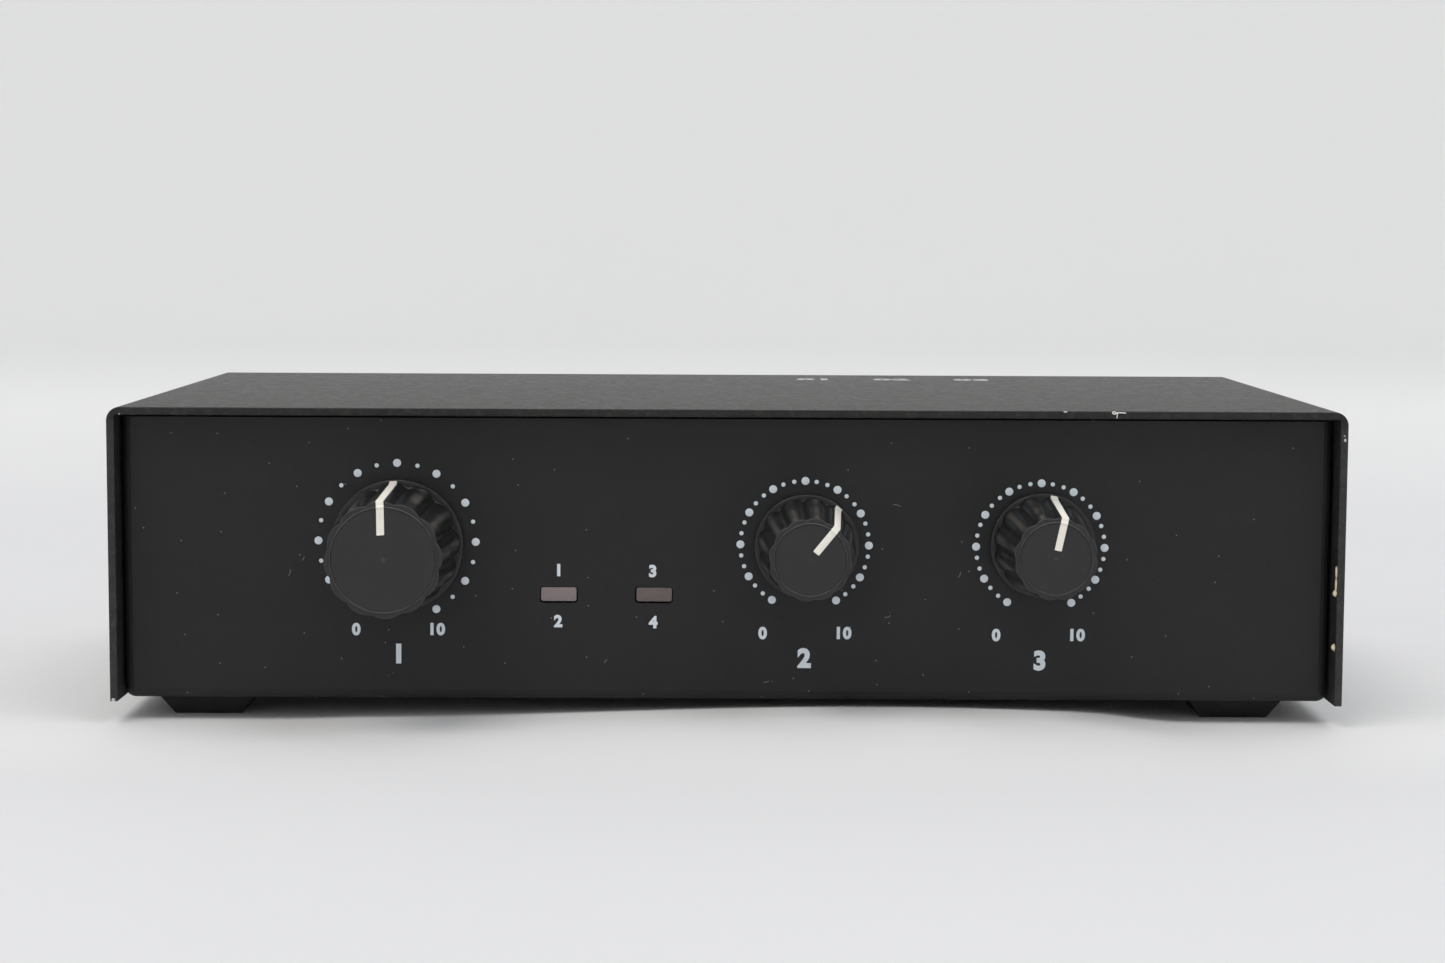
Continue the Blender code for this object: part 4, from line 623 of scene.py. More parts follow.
def knob_plastic():
    """Moulded black plastic: a dull face, sides painted darker as shade, a painted highlight with
    some dust along each lobe's crest, and worn edges with a painted highlight.
    """
    look = Finish("knob_plastic")
    facing = look.times(look.facing("Y"), -1.0)
    front = look.times(look.ramp(facing, 0.75, 0.97), look.layer("face"))
    slow = look.noise(0.006, 3)
    # The sides are painted darker than the face: painted shade on the flanks
    face = look.mix(slow, (0.0094, 0.0094, 0.0100, 1), (0.0114, 0.0113, 0.0119, 1))
    side = look.mix(slow, (0.0028, 0.0028, 0.0032, 1), (0.0048, 0.0048, 0.0053, 1))
    look.shade = look.mix(front, side, face)

    # A painted warm highlight along each lobe's crest, which also stands for a film of dust there
    crest = look.ramp(look.layer("lobe"), 0.0, 0.52, 1.0, 0.0)
    streak = look.ramp(look.noise(0.0008, 4, 0.65, stretch=(1, 0.12, 1)), 0.30, 0.70, 0.55, 1.0)
    patchy = look.ramp(look.noise(0.0060, 2), 0.36, 0.60, 0.25, 1.0)
    crest_highlight_and_dust = look.times(look.times(crest, streak), patchy)
    look.lay(crest_highlight_and_dust, (0.102, 0.094, 0.084, 1), 0.90)

    # Worn edges with a painted highlight, brighter where they face up
    painted_top_light = look.ramp(look.facing("Z"), -0.2, 0.8, 0.20, 1.0)
    rubbed = look.ramp(look.noise(0.0012, 4, 0.6), 0.25, 0.65, 0.45, 1.0)
    edge_wear_and_highlight = look.times(look.times(look.ramp(look.layer("edge"), 0.55, 1.0), painted_top_light), rubbed)
    look.lay(edge_wear_and_highlight, (0.150, 0.148, 0.148, 1))
    dust = look.times(look.specks(0.0017, 0.00006, 0.20), look.ramp(facing, 0.3, 0.8, 0.6, 0.25))
    look.lay(dust, (0.34, 0.32, 0.28, 1))

    gloss = look.math("ADD", look.uneven(0.0023, 0.31, 0.37, 1, 0.5), look.times(front, 0.09))
    gloss = look.math("ADD", gloss, look.times(crest_highlight_and_dust, 0.30))
    grain = look.times(look.noise(0.00012, 3, 0.55), front)
    return look.finish(gloss, look.bump(grain, 0.000005))


def cream_plastic():
    """The pointer lines: cream filler with faint dirt along it."""
    look = Finish("cream_plastic", specular=0.4)
    colour = (0.93, 0.905, 0.815)
    dirt = look.ramp(look.noise(0.0005, 4, 0.65), 0.42, 0.80)
    look.vary(look.noise(0.0017), colour, 0.92, 1.04)
    look.lay(dirt, (0.50, 0.46, 0.38, 1), 0.14)
    grain = look.bump(look.noise(0.00010, 3), 0.000008)
    return look.finish(look.uneven(0.0008, 0.42, 0.60), grain)


def print_ink(name, colour):
    """Screen print: a thin pale ink with slightly uneven cover."""
    look = Finish(name, specular=0.3)
    look.vary(look.noise(0.0013, 3), colour, 0.93, 1.06)
    thin = look.ramp(look.noise(0.00016, 3, 0.6), 0.60, 0.82)
    look.lay(thin, tint(colour, 0.6), 0.35)
    grain = look.bump(look.noise(0.00014, 2), 0.000004)
    return look.finish(look.uneven(0.002, 0.50, 0.64), grain)


def metal(name, colour, roughness, brushed=(1, 1, 1)):
    """Plated metal with faint brushing, dull patches and small pits."""
    look = Finish(name, metallic=1.0)
    look.vary(look.noise(0.0032, 4, 0.6), colour, 0.88, 1.0)
    pits = look.ramp(look.noise(0.00032, 4, 0.7), 0.62, 0.78)
    look.lay(pits, tint(colour, 0.45), 0.4)
    gloss = look.uneven(0.0015, roughness - 0.06, roughness + 0.10, 4, 0.6)
    return look.finish(gloss, look.bump(look.noise(0.00030, 3, 0.6, brushed), 0.000006))


def circuit_board():
    """Green solder mask over copper tracks, with bare tinned pads."""
    look = Finish("circuit_board")
    colour = (0.018, 0.105, 0.042)
    look.vary(look.noise(0.012, 3), colour, 0.85, 1.12)
    distance, chance = look.cells(0.0025, look.plane(look.axis("X"), look.axis("Y")))
    track = look.ramp(distance, 0.36, 0.40, 1.0, 0.0)
    look.lay(track, (0.045, 0.19, 0.075, 1), 0.5)
    some = look.math("GREATER_THAN", look.axis("X", chance), 0.55)
    pad = look.times(look.ramp(distance, 0.14, 0.17, 1.0, 0.0), some)
    look.lay(pad, (0.60, 0.58, 0.54, 1))
    return look.finish(look.uneven(0.002, 0.30, 0.44), look.bump(track, 0.00002))


def paper_with_painted_light():
    """Pale paper of the backdrop, a little lighter far off, with painted light close round the case
    that lifts its shadow.
    """
    look = Finish("backdrop_paper", specular=0.15)
    slow = look.noise(0.16, 3, 0.5)
    low = look.mix(slow, (0.742, 0.744, 0.762, 1), (0.764, 0.764, 0.774, 1))
    high = look.mix(slow, (0.915, 0.915, 0.920, 1), (0.930, 0.928, 0.926, 1))
    look.shade = look.mix(look.ramp(look.length(look.place), 0.16, 0.75), low, high)
    # Painted light close round the case, which lifts the shadow on the paper there
    aside = look.math("SUBTRACT", look.math("ABSOLUTE", look.axis("X")), CASE_HALF)
    behind = look.math("SUBTRACT", look.axis("Y"), COVER_FRONT + CASE_DEPTH / 2)
    along = look.math("SUBTRACT", look.math("ABSOLUTE", behind), CASE_DEPTH / 2)
    gap = look.plane(look.math("MAXIMUM", aside, 0.0), look.math("MAXIMUM", along, 0.0))
    look.lay(look.ramp(look.length(gap), 0.0, 0.045, 0.70, 0.0), high)
    tooth = look.bump(look.noise(0.0012, 3, 0.6), 0.00001)
    return look.finish(look.ramp(slow, 0.3, 0.7, 0.74, 0.84), tooth)



def frame_at(x, y, z, *turns):
    """A frame at a point, turned about the world's axes."""
    return Matrix.Translation((x, y, z)) @ Euler(turns).to_matrix().to_4x4()


def front_frame(x, z, turn=0.0, y=PANEL_Y):
    """A frame on the front panel whose own Z points out of it and own Y up."""
    return frame_at(x, y, z, QUARTER_TURN, turn, 0)


def rear_frame(x, z):
    """A frame on the rear panel whose own Z points out of it and own Y up."""
    return frame_at(x, REAR_Y, z, QUARTER_TURN, 0, math.pi)


def new_piece(name, bm, place, materials, body="case", nodes=()):
    """Turns an edit mesh into a piece that rides on a body and stands for CAD nodes."""
    bmesh.ops.remove_doubles(bm, verts=bm.verts, dist=1e-8)
    bmesh.ops.transform(bm, matrix=place, verts=bm.verts)
    bmesh.ops.recalc_face_normals(bm, faces=bm.faces)
    mesh = bpy.data.meshes.new(name)
    bm.to_mesh(mesh)
    bm.free()
    for material in materials:
        mesh.materials.append(material)
    mesh.shade_smooth()
    mesh.set_sharp_from_angle(angle=SHARP_ANGLE)
    piece = bpy.data.objects.new(name, mesh)
    bpy.context.scene.collection.objects.link(piece)
    if body:
        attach(piece, body)
    if nodes:
        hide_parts(*nodes)
    return piece


def circle(steps, start=0.0):
    """Cosine and sine of each of many turns all round."""
    turns = [start + 2 * math.pi * step / steps for step in range(steps)]
    return [(math.cos(turn), math.sin(turn)) for turn in turns]


def ring(bm, radius, height, steps, middle=(0, 0)):
    """A circle of vertices, or one vertex over and over where the radius is 0."""
    x, y = middle
    if radius == 0:
        return [bm.verts.new((x, y, height))] * steps
    spots = [(x + radius * cos, y + radius * sin) for cos, sin in circle(steps)]
    return [bm.verts.new((*spot, height)) for spot in spots]


def bridge(bm, lower, upper, material=0, closed=True):
    """Faces between two rows of vertices."""
    count = len(lower)
    for step in range(count if closed else count - 1):
        after = (step + 1) % count
        corners = list(dict.fromkeys((lower[step], lower[after], upper[after], upper[step])))
        if len(corners) > 2:
            bm.faces.new(corners).material_index = material


def skin(bm, rows, material=0, joined=False, capped=False):
    """Faces from each row to the next; joined goes on to the first, capped fills both ends."""
    for lower, upper in zip(rows, rows[1:]):
        bridge(bm, lower, upper, material)
    if joined:
        bridge(bm, rows[-1], rows[0], material)
    if capped:
        for row in (rows[0], rows[-1]):
            bm.faces.new(row).material_index = material


def add_turned(bm, profile, steps=CIRCLE_STEPS):
    """Turns a profile of (radius, height) points about Z; one that starts off the axis is joined.

    A third value gives the material of the band that ends at that point.
    """
    rows = [ring(bm, point[0], point[1], steps) for point in profile]
    kinds = [point[2] if len(point) > 2 else 0 for point in profile]
    for lower, upper, kind in zip(rows, rows[1:], kinds[1:]):
        bridge(bm, lower, upper, kind)
    if profile[0][0] > 0:
        bridge(bm, rows[-1], rows[0], kinds[0])


def add_loft(bm, levels, material=0, joined=False):
    """Skins a list of (outline, height) levels that all have as many points."""
    rows = [[bm.verts.new((x, y, height)) for x, y in outline] for outline, height in levels]
    skin(bm, rows, material, joined, capped=not joined)


def eased_edge(radius, shares):
    """Distances to the two sides of a rounded edge, on the way from the second to the first."""
    turns = [QUARTER_TURN * share for share in shares]
    return [(radius * (1 - math.sin(turn)), radius * (1 - math.cos(turn))) for turn in turns]


def rounded_outline(width, height, radius, steps=4, slant=0.0):
    """A rectangle with round corners; slant narrows its lower side."""
    corners = (
        (width / 2 - slant - radius, -height / 2 + radius, -QUARTER_TURN),
        (width / 2 - radius, height / 2 - radius, 0.0),
        (-width / 2 + radius, height / 2 - radius, QUARTER_TURN),
        (-width / 2 + slant + radius, -height / 2 + radius, math.pi),
    )
    outline = []
    for x, y, start in corners:
        for step in range(steps + 1):
            turn = start + QUARTER_TURN * step / steps
            outline.append((x + radius * math.cos(turn), y + radius * math.sin(turn)))
    return outline


def hexagon_outline(across):
    """A hexagon with extra points along each side, so that its chamfer can follow a cone."""
    radius = across / 2 / math.cos(math.pi / 6)
    points = []
    for side in range(6):
        first, second = math.pi * side / 3, math.pi * (side + 1) / 3
        for step in range(HEX_SIDE_POINTS):
            share = step / HEX_SIDE_POINTS
            x = radius * (math.cos(first) * (1 - share) + math.cos(second) * share)
            y = radius * (math.sin(first) * (1 - share) + math.sin(second) * share)
            points.append((x, y))
    return points


def bored_hexagon(bm, across, high, bore, bore_end):
    """Rows up a hexagon whose corners are turned back in a cone, and down its bore."""
    outline = hexagon_outline(across)
    limit = across / 2 * HEX_CONE
    middle = high - HEX_CHAMFER * 0.5
    rows = []
    for height, shrink in ((SEAT_GAP, 0), (high - HEX_CHAMFER, 0), (middle, 0.5), (high, 1.0)):
        row = []
        for x, y in outline:
            length = math.hypot(x, y)
            over = max(0.0, length - limit * (1 - HEX_CONE_FALL * shrink))
            reach = length - over * shrink
            row.append(bm.verts.new((x / length * reach, y / length * reach, height)))
        rows.append(row)
    hole = ((bore + HOLE_EASE, high), (bore, high - HOLE_EASE), (bore, bore_end))
    return rows + [ring(bm, radius, height, len(outline)) for radius, height in hole]


def thread(start, end, crest, root, pitch, land=0.1):
    """Profile points of a screw thread drawn as rings; land is the share of half a crest."""
    points = []
    for index in range(int((end - start) / pitch)):
        height = start + index * pitch
        for radius, share in ((crest, land), (root, 0.5), (crest, 1 - land)):
            points.append((radius, height + pitch * share))
    return points


def cut_away(piece, tools):
    """Cuts closed helper meshes out of a piece for good, and removes them."""
    for tool in tools:
        modifier = piece.modifiers.new("cut", "BOOLEAN")
        modifier.solver = "EXACT"
        modifier.operation = "DIFFERENCE"
        modifier.object = tool
    graph = bpy.context.evaluated_depsgraph_get()
    bpy.context.view_layer.update()
    mesh = bpy.data.meshes.new_from_object(piece.evaluated_get(graph), depsgraph=graph)
    piece.modifiers.clear()
    old = piece.data
    piece.data = mesh
    bpy.data.meshes.remove(old)
    mesh.set_sharp_from_angle(angle=SHARP_ANGLE)
    for tool in tools:
        bpy.data.objects.remove(tool, do_unlink=True)


def prism(place, outline, low, high):
    """A helper for cut_away: an outline between two heights."""
    bm = bmesh.new()
    add_loft(bm, [(outline, low), (outline, high)])
    return new_piece("cutter", bm, place, [], body=None)


def drill(place, radius, low, high, steps=32):
    """A helper for cut_away: a cylinder round its frame's Z."""
    bm = bmesh.new()
    add_turned(bm, [(0, low), (radius, low), (radius, high), (0, high)], steps)
    return new_piece("cutter", bm, place, [], body=None)


def middle_of(node):
    """The middle of a solid's box."""
    low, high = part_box(node)
    return (low + high) / 2


# Materials of the pieces
coat = powder_coat()
paint = panel_paint()
plastic = knob_plastic()
cream = cream_plastic()
ink = print_ink("panel_print", (0.70, 0.765, 0.815))
top_ink = print_ink("cover_print", (0.56, 0.56, 0.55))
rubber = plain_finish("rubber", (0.012, 0.012, 0.013), 0.78, 0.00035, 0.00002, dust=0.12)
lenses = {
    side: plain_finish(f"{side}_lens", colour, 0.42, 0.00018, 0.000006, 0.08, 0.003, dust=0.05)
    for side, colour in LENS_COLOURS.items()
}
black = plain_finish("black_plastic", (0.018, 0.018, 0.020), 0.42, 0.00020, 0.000008, dust=0.06)
screw_black = metal("black_screw", (0.075, 0.075, 0.080), 0.38)
nickel = metal("nickel", (0.66, 0.64, 0.60), 0.24)
zinc = metal("zinc", (0.56, 0.57, 0.59), 0.34, (1, 1, 6))
brass = metal("brass", (0.66, 0.49, 0.23), 0.28)
aluminium = metal("aluminium", (0.70, 0.71, 0.73), 0.30, (6, 6, 1))
ferrite = plain_finish("ferrite", (0.085, 0.080, 0.075), 0.56, 0.00025, 0.00001)
blue = plain_finish("blue_plastic", (0.030, 0.080, 0.300), 0.38, 0.00025, 0.000006)
filler = plain_finish("filler", (0.74, 0.66, 0.46), 0.70, 0.00012, 0.00001)
lint = plain_finish("lint", (0.94, 0.93, 0.90), 0.80, 0.00010, 0.00001, 0.06)
white = plain_finish("white_insulator", (0.74, 0.73, 0.70), 0.40, 0.00020, 0.000006, 0.05)
board = circuit_board()

# Looks of the solids, by the end or the start of their names; the others are black plastic
looks_by_end = {"_shaft": aluminium, "_control": zinc, "_washer": nickel, "_nut": nickel}
looks_by_start = {
    "chassis": paint,
    "main_board": board,
    "foot_": rubber,
    "standoff_": nickel,
    "board_screw_": zinc,
    "computer_transformer": ferrite,
    "radio_transformer": ferrite,
    "keying_relay": blue,
    "filter_capacitor": aluminium,
    "crystal": nickel,
}
for name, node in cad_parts.items():
    looks = [look for end, look in looks_by_end.items() if name.endswith(end)]
    looks += [look for start, look in looks_by_start.items() if name.startswith(start)]
    node.data.materials.clear()
    node.data.materials.append(looks[0] if looks else black)


def cover_rows(inset, tip):
    """Paired points of the sheet's outer and inner face, from one lower edge to the other."""
    high = CASE_HEIGHT - PRINT_THICKNESS
    outer_x, outer_y = CASE_HALF - OUTER_BEND, high - OUTER_BEND
    inner_x, inner_y = CASE_HALF - SHEET - INNER_BEND, high - SHEET - INNER_BEND
    right = []
    for back, up in eased_edge(SHEET_EDGE, EDGE_SHARES):
        back = max(inset, back)
        right.append(((CASE_HALF - back, up + tip), (CASE_HALF - SHEET + back, up + tip)))
    for step in range(BEND_STEPS + 1):
        turn = QUARTER_TURN * step / BEND_STEPS
        outer, inner = OUTER_BEND - inset, INNER_BEND + inset
        outer_point = (outer_x + outer * math.cos(turn), outer_y + outer * math.sin(turn))
        inner_point = (inner_x + inner * math.cos(turn), inner_y + inner * math.sin(turn))
        right.append((outer_point, inner_point))
    left = [((-outer[0], outer[1]), (-inner[0], inner[1])) for outer, inner in reversed(right)]
    return right + left


def cover_screw_frame(end, side):
    """A frame at a cover screw on the side wall, whose own Z points away from the case."""
    middle = middle_of(f"cover_screw_{end}_{side}")
    x = math.copysign(CASE_HALF, middle.x)
    return frame_at(x, middle.y, middle.z, 0, math.copysign(QUARTER_TURN, x), 0)


def make_cover():
    """The folded sheet with eased edges and four screw holes."""
    bm = bmesh.new()
    levels = [(inset, -height) for inset, height in eased_edge(SHEET_EDGE, EDGE_SHARES)]
    levels += [(inset, -CASE_DEPTH - height) for inset, height in reversed(levels)]
    outers, inners = [], []
    for inset, height in levels:
        pairs = cover_rows(inset, inset / 2)
        outers.append([bm.verts.new((x, y, height)) for (x, y), _ in pairs])
        inners.append([bm.verts.new((x, y, height)) for _, (x, y) in pairs])
    for rows in (outers, inners):
        for first, second in zip(rows, rows[1:]):
            bridge(bm, first, second, closed=False)
    for end in (0, -1):
        bridge(bm, outers[end], inners[end], closed=False)
    for tip in (0, -1):
        bridge(bm, [row[tip] for row in outers], [row[tip] for row in inners], closed=False)
    place = front_frame(0, CASE_Z, y=COVER_FRONT)
    cover = new_piece("cover_look", bm, place, [coat], nodes=["cover"])
    spots = [cover_screw_frame(end, side) for end, side in COVER_SCREWS]
    cut_away(cover, [drill(spot, SCREW_HOLE_RADIUS, -2 * SHEET, SHEET) for spot in spots])


def make_flakes():
    """Small ragged flakes of filler stuck on the right wall's inner side."""
    bm = bmesh.new()
    for height, depth, half in FLAKES:
        middle = (INNER_X - half[0] * FLAKE_SINK, COVER_FRONT + depth, CASE_Z + height)
        spot = Matrix.Translation(middle)
        for vert in bmesh.ops.create_icosphere(bm, subdivisions=3, radius=1.0)["verts"]:
            x, y, z = vert.co
            waves = 0.16 * math.sin(7 * x + 900 * height) * math.cos(6 * z + 3 * y)
            ragged = 1 + waves + 0.10 * math.sin(13 * z + 5 * x)
            vert.co = spot @ Vector([value * size * ragged for value, size in zip((x, y, z), half)])
    new_piece("wall_flakes", bm, Matrix.Identity(4), [filler])


def add_tube(bm, path, radius, closed=False):
    """A round thread along a flat path of (x, y) points."""
    rows = []
    last = len(path) - 1
    for index, (x, y) in enumerate(path):
        before = path[index - 1] if closed or index else path[index]
        after = path[(index + 1) % len(path)] if closed or index < last else path[index]
        dx, dy = after[0] - before[0], after[1] - before[1]
        length = math.hypot(dx, dy)
        row = []
        for cos, sin in circle(TUBE_SIDES):
            out = radius * cos
            spot = (x - dy / length * out, y + dx / length * out, radius * sin)
            row.append(bm.verts.new(spot))
        rows.append(row)
    skin(bm, rows, joined=closed, capped=not closed)


def make_curl():
    """A curl of white lint caught on the cover's front edge: a loop with two tails."""
    bm = bmesh.new()
    wide, high = CURL_LOOP
    loop = [
        (CURL_MIDDLE + wide * cos - high * CURL_LEAN * sin, high * sin)
        for cos, sin in circle(CURL_STEPS)
    ]
    tail = [(CURL_TAIL * part, CURL_TAIL_WAVE * math.sin(4 * part)) for part in CURL_TAIL_SHARES]
    drop = [(CURL_DROP_WAVE * math.sin(5 * part), -CURL_DROP * part) for part in CURL_DROP_SHARES]
    add_tube(bm, loop, CURL_RADIUS, closed=True)
    add_tube(bm, tail, CURL_RADIUS)
    add_tube(bm, drop, CURL_RADIUS * CURL_DROP_THIN)
    x, z = CURL_PLACE
    new_piece("edge_lint", bm, front_frame(x, CASE_Z + z, y=COVER_FRONT - CURL_RADIUS), [lint])


def knob_ring(bm, crest, depth, height, edge=0.0, face=0.0, flank=False):
    """One level of a knob, with each point's distance from its lobe's crest and its wear with
    painted highlight.
    """
    layers = bm.verts.layers.float
    row = []
    for step, (cos, sin) in enumerate(circle(KNOB_COLUMNS, QUARTER_TURN)):
        share = 1 - abs(1 - 2 * (step % COLUMNS_PER_LOBE) / COLUMNS_PER_LOBE)
        radius = crest - depth * share**2
        vert = bm.verts.new((radius * cos, radius * sin, height))
        vert[layers["lobe"]] = share if flank else 1.0
        vert[layers["edge"]] = edge
        vert[layers["face"]] = face
        row.append(vert)
    return row


def make_knob(name, size, rest):
    """A knob from its bore, round its skirt and up its lobes to the sunk face."""
    knob_front, pointer_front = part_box(f"{name}_knob")[0].y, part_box(f"{name}_pointer")[0].y
    reach = PANEL_Y - max(knob_front, pointer_front + LINE_PROUD)
    skirt, base, crest, rim = size["skirt"], size["base"], size["crest"], size["rim"]
    flute, face_flute = size["flute"], size["face_flute"]
    skirt_top = KNOB_STANDOFF + SKIRT_THICKNESS
    cavity = base - flute - KNOB_WALL
    inner_rim = rim - RIM_WIDTH
    tip = reach - BORE_END_WALL
    disc = reach - RIM_DROP

    # Each level is a crest's radius, the depth of the flutes, a height, its wear with painted
    # highlight, and its face
    levels = [
        (BORE_RADIUS, 0, tip),
        (BORE_RADIUS, 0, KNOB_CEILING),
        (cavity, 0, KNOB_CEILING),
        (cavity, 0, KNOB_STANDOFF),
    ]
    for inset, up in eased_edge(SKIRT_EASE, THIRDS):
        levels.append((skirt - inset, 0, KNOB_STANDOFF + up))
    for down, inset in eased_edge(SKIRT_EASE, THIRDS):
        levels.append((skirt - inset, 0, skirt_top - down, SKIRT_WEAR_AND_HIGHLIGHT))
    start = skirt_top - FLANK_SINK
    step_top = reach - KNOB_STEP
    shoulder = step_top - KNOB_EASE
    levels.append((base + FOOT_FILLET, flute * 0.8, start))
    for level in range(FLANK_LEVELS + 1):
        share = level / FLANK_LEVELS
        height = start + FLANK_FOOT + (shoulder - start - FLANK_ENDS) * share
        depth = flute + (face_flute - flute) * share
        levels.append((base + (crest - base) * share, depth, height, 0.0, 0.0, True))
    for share in THIRDS[1:]:
        turn = QUARTER_TURN * share
        radius = crest - KNOB_EASE * (1 - math.cos(turn))
        levels.append((radius, face_flute, shoulder + KNOB_EASE * math.sin(turn), share))
    levels += [
        (crest - KNOB_EASE - 0.00006, face_flute, step_top, 0.0, 1.0),
        (rim + 0.00008, face_flute * 0.05, step_top + 0.00001, 0.0, 1.0),
        (rim + 0.00002, 0, step_top + 0.00004, 0.0, 1.0),
        (rim, 0, reach - 0.00005, 1.0, 1.0),
        (rim - RIM_EASE, 0, reach, 1.0, 1.0),
        (inner_rim + RIM_EASE, 0, reach, 1.0, 1.0),
        (inner_rim, 0, reach - RIM_EASE, 0.6, 1.0),
        (inner_rim - 0.00008, 0, disc + 0.00003, 0.0, 1.0),
        (inner_rim - 0.00016, 0, disc, 0.0, 1.0),
    ]
    levels += [(rim * share, 0, disc, 0.0, 1.0) for share in (0.7, 0.4, 0.15)]
    bm = bmesh.new()
    for layer in ("lobe", "edge", "face"):
        bm.verts.layers.float.new(layer)
    rows = [[bm.verts.new((0, 0, tip))] * KNOB_COLUMNS]
    rows += [knob_ring(bm, *level) for level in levels]
    middle = bm.verts.new((0, 0, disc))
    middle[bm.verts.layers.float["face"]] = 1.0
    rows.append([middle] * KNOB_COLUMNS)
    skin(bm, rows)
    axis = middle_of(f"{name}_shaft")
    place = front_frame(axis.x, axis.z, rest)
    body = f"{name}_rotor"
    nodes = [f"{name}_knob"]
    new_piece(f"{name}_knob_look", bm, place, [plastic], body, nodes)
    make_pointer(name, size, reach, place, body)


def make_pointer(name, size, reach, place, body):
    """A cream line across the face and down one lobe to the skirt, with eased edges."""
    start, crest, rim = size["line_start"], size["crest"], size["rim"]
    base = size["base"]
    inner_rim = rim - RIM_WIDTH
    skirt_top = KNOB_STANDOFF + SKIRT_THICKNESS + SEAT_GAP
    step_top = reach - KNOB_STEP + LINE_PROUD
    disc = reach - RIM_DROP + LINE_PROUD
    rim_top = reach + LINE_PROUD

    # Distance from the axis, height and direction of the surface, from the axis outwards
    path = [
        (start, disc, (0, 1)),
        (start + LINE_CORNER / 2, disc, (0, 1)),
        (start + LINE_CORNER, disc, (0, 1)),
        (inner_rim - 0.00020, disc, (0, 1)),
        (inner_rim - 0.00008, disc + 0.00008, (-0.5, 0.85)),
        (inner_rim + 0.00002, rim_top - 0.00002, (-0.3, 0.95)),
        (rim - RIM_EASE, rim_top, (0, 1)),
        (rim + 0.00008, rim_top - 0.00006, (0.4, 0.9)),
        (rim + 0.00022, step_top, (0.1, 1)),
        (crest - KNOB_EASE, step_top, (0.1, 1)),
        (crest - KNOB_EASE * 0.2, step_top - KNOB_EASE * 0.3, (0.7, 0.7)),
        (crest + LINE_PROUD, step_top - KNOB_EASE, (0.95, 0.2)),
        (base + LINE_PROUD, skirt_top + 0.0012, (1, 0.02)),
        (base + 0.00022, skirt_top + 0.0002, (0.95, 0.3)),
        (size["skirt"] - 0.00016, skirt_top - SEAT_GAP + LINE_PROUD, (0.7, 0.7)),
    ]
    half = size["line"] / 2
    section = [(-half, 1.0), (-half, LINE_EASE / LINE_DEPTH)]
    for down, inset in eased_edge(LINE_EASE, THIRDS[1:]):
        section.append((-half + inset, down / LINE_DEPTH))
    section += [(-x, down) for x, down in reversed(section)]
    bm = bmesh.new()
    rows = []
    inner_skew, outer_skew = size["line_skew"]
    for out, up, (nx, nz) in path:
        along = min(1.0, (out - start) / (rim - start))
        skew = inner_skew + (outer_skew - inner_skew) * along
        tip = max(0.0, 1 - (out - start) / LINE_CORNER)
        narrow = 1 - LINE_CORNER / half * (1 - math.sqrt(1 - tip**2))
        row = []
        for x, down in section:
            depth = LINE_DEPTH * down
            row.append(bm.verts.new((x * narrow + skew, out - nx * depth, up - nz * depth)))
        rows.append(row)
    skin(bm, rows, capped=True)
    nodes = [f"{name}_pointer"]
    new_piece(f"{name}_pointer_look", bm, place, [cream], body, nodes)


def make_scale(name, scale):
    """The ring of dots round one knob."""
    bm = bmesh.new()
    steps = scale["between"] + 1
    count = (SCALE_END - SCALE_START) // SCALE_STEP * steps
    levels = ((0, 0), (0, PRINT_THICKNESS * 0.7), (PRINT_THICKNESS * 0.8, PRINT_THICKNESS))
    for index in range(count + 1):
        turn = math.radians(SCALE_START + SCALE_STEP * index / steps) - PRINT_TURN
        radius = SMALL_DOT if index % steps else LARGE_DOT
        middle = (scale["radius"] * math.sin(turn), scale["radius"] * math.cos(turn))
        rows = [ring(bm, radius - inset, height, DOT_STEPS, middle) for inset, height in levels]
        skin(bm, rows, capped=True)
    x, z = scale["middle"]
    new_piece(f"{name}_scale", bm, front_frame(x, CASE_Z + z), [ink])


def number_mesh(text, height):
    """One number as a thin raised mesh, centred, in its own XY plane."""
    curve = bpy.data.curves.new("number", "FONT")
    curve.body = text
    curve.align_x = "CENTER"
    curve.align_y = "CENTER"
    curve.size = 1 / DIGIT_SHARE
    curve.offset = DIGIT_SPREAD
    curve.space_character = DIGIT_SPACING
    curve.resolution_u = DIGIT_CURVE_STEPS
    curve.extrude = PRINT_THICKNESS / height / 2
    writing = bpy.data.objects.new("number", curve)
    bpy.context.scene.collection.objects.link(writing)
    bpy.context.view_layer.update()
    graph = bpy.context.evaluated_depsgraph_get()
    mesh = bpy.data.meshes.new_from_object(writing.evaluated_get(graph))
    bpy.data.objects.remove(writing, do_unlink=True)
    bpy.data.curves.remove(curve)
    across = [vert.co.x for vert in mesh.vertices]
    up = [vert.co.y for vert in mesh.vertices]
    middle = ((min(across) + max(across)) / 2, (min(up) + max(up)) / 2)
    shift = Vector((*middle, -PRINT_THICKNESS / height / 2))
    mesh.transform(Matrix.Scale(height, 4) @ Matrix.Translation(-shift))
    return mesh


def make_numbers(name, numbers, material):
    """Several numbers as one piece; each comes with the frame that it stands in."""
    bm = bmesh.new()
    for text, height, place in numbers:
        mesh = number_mesh(text, height)
        mesh.transform(place)
        bm.from_mesh(mesh)
        bpy.data.meshes.remove(mesh)
    new_piece(name, bm, Matrix.Identity(4), [material])


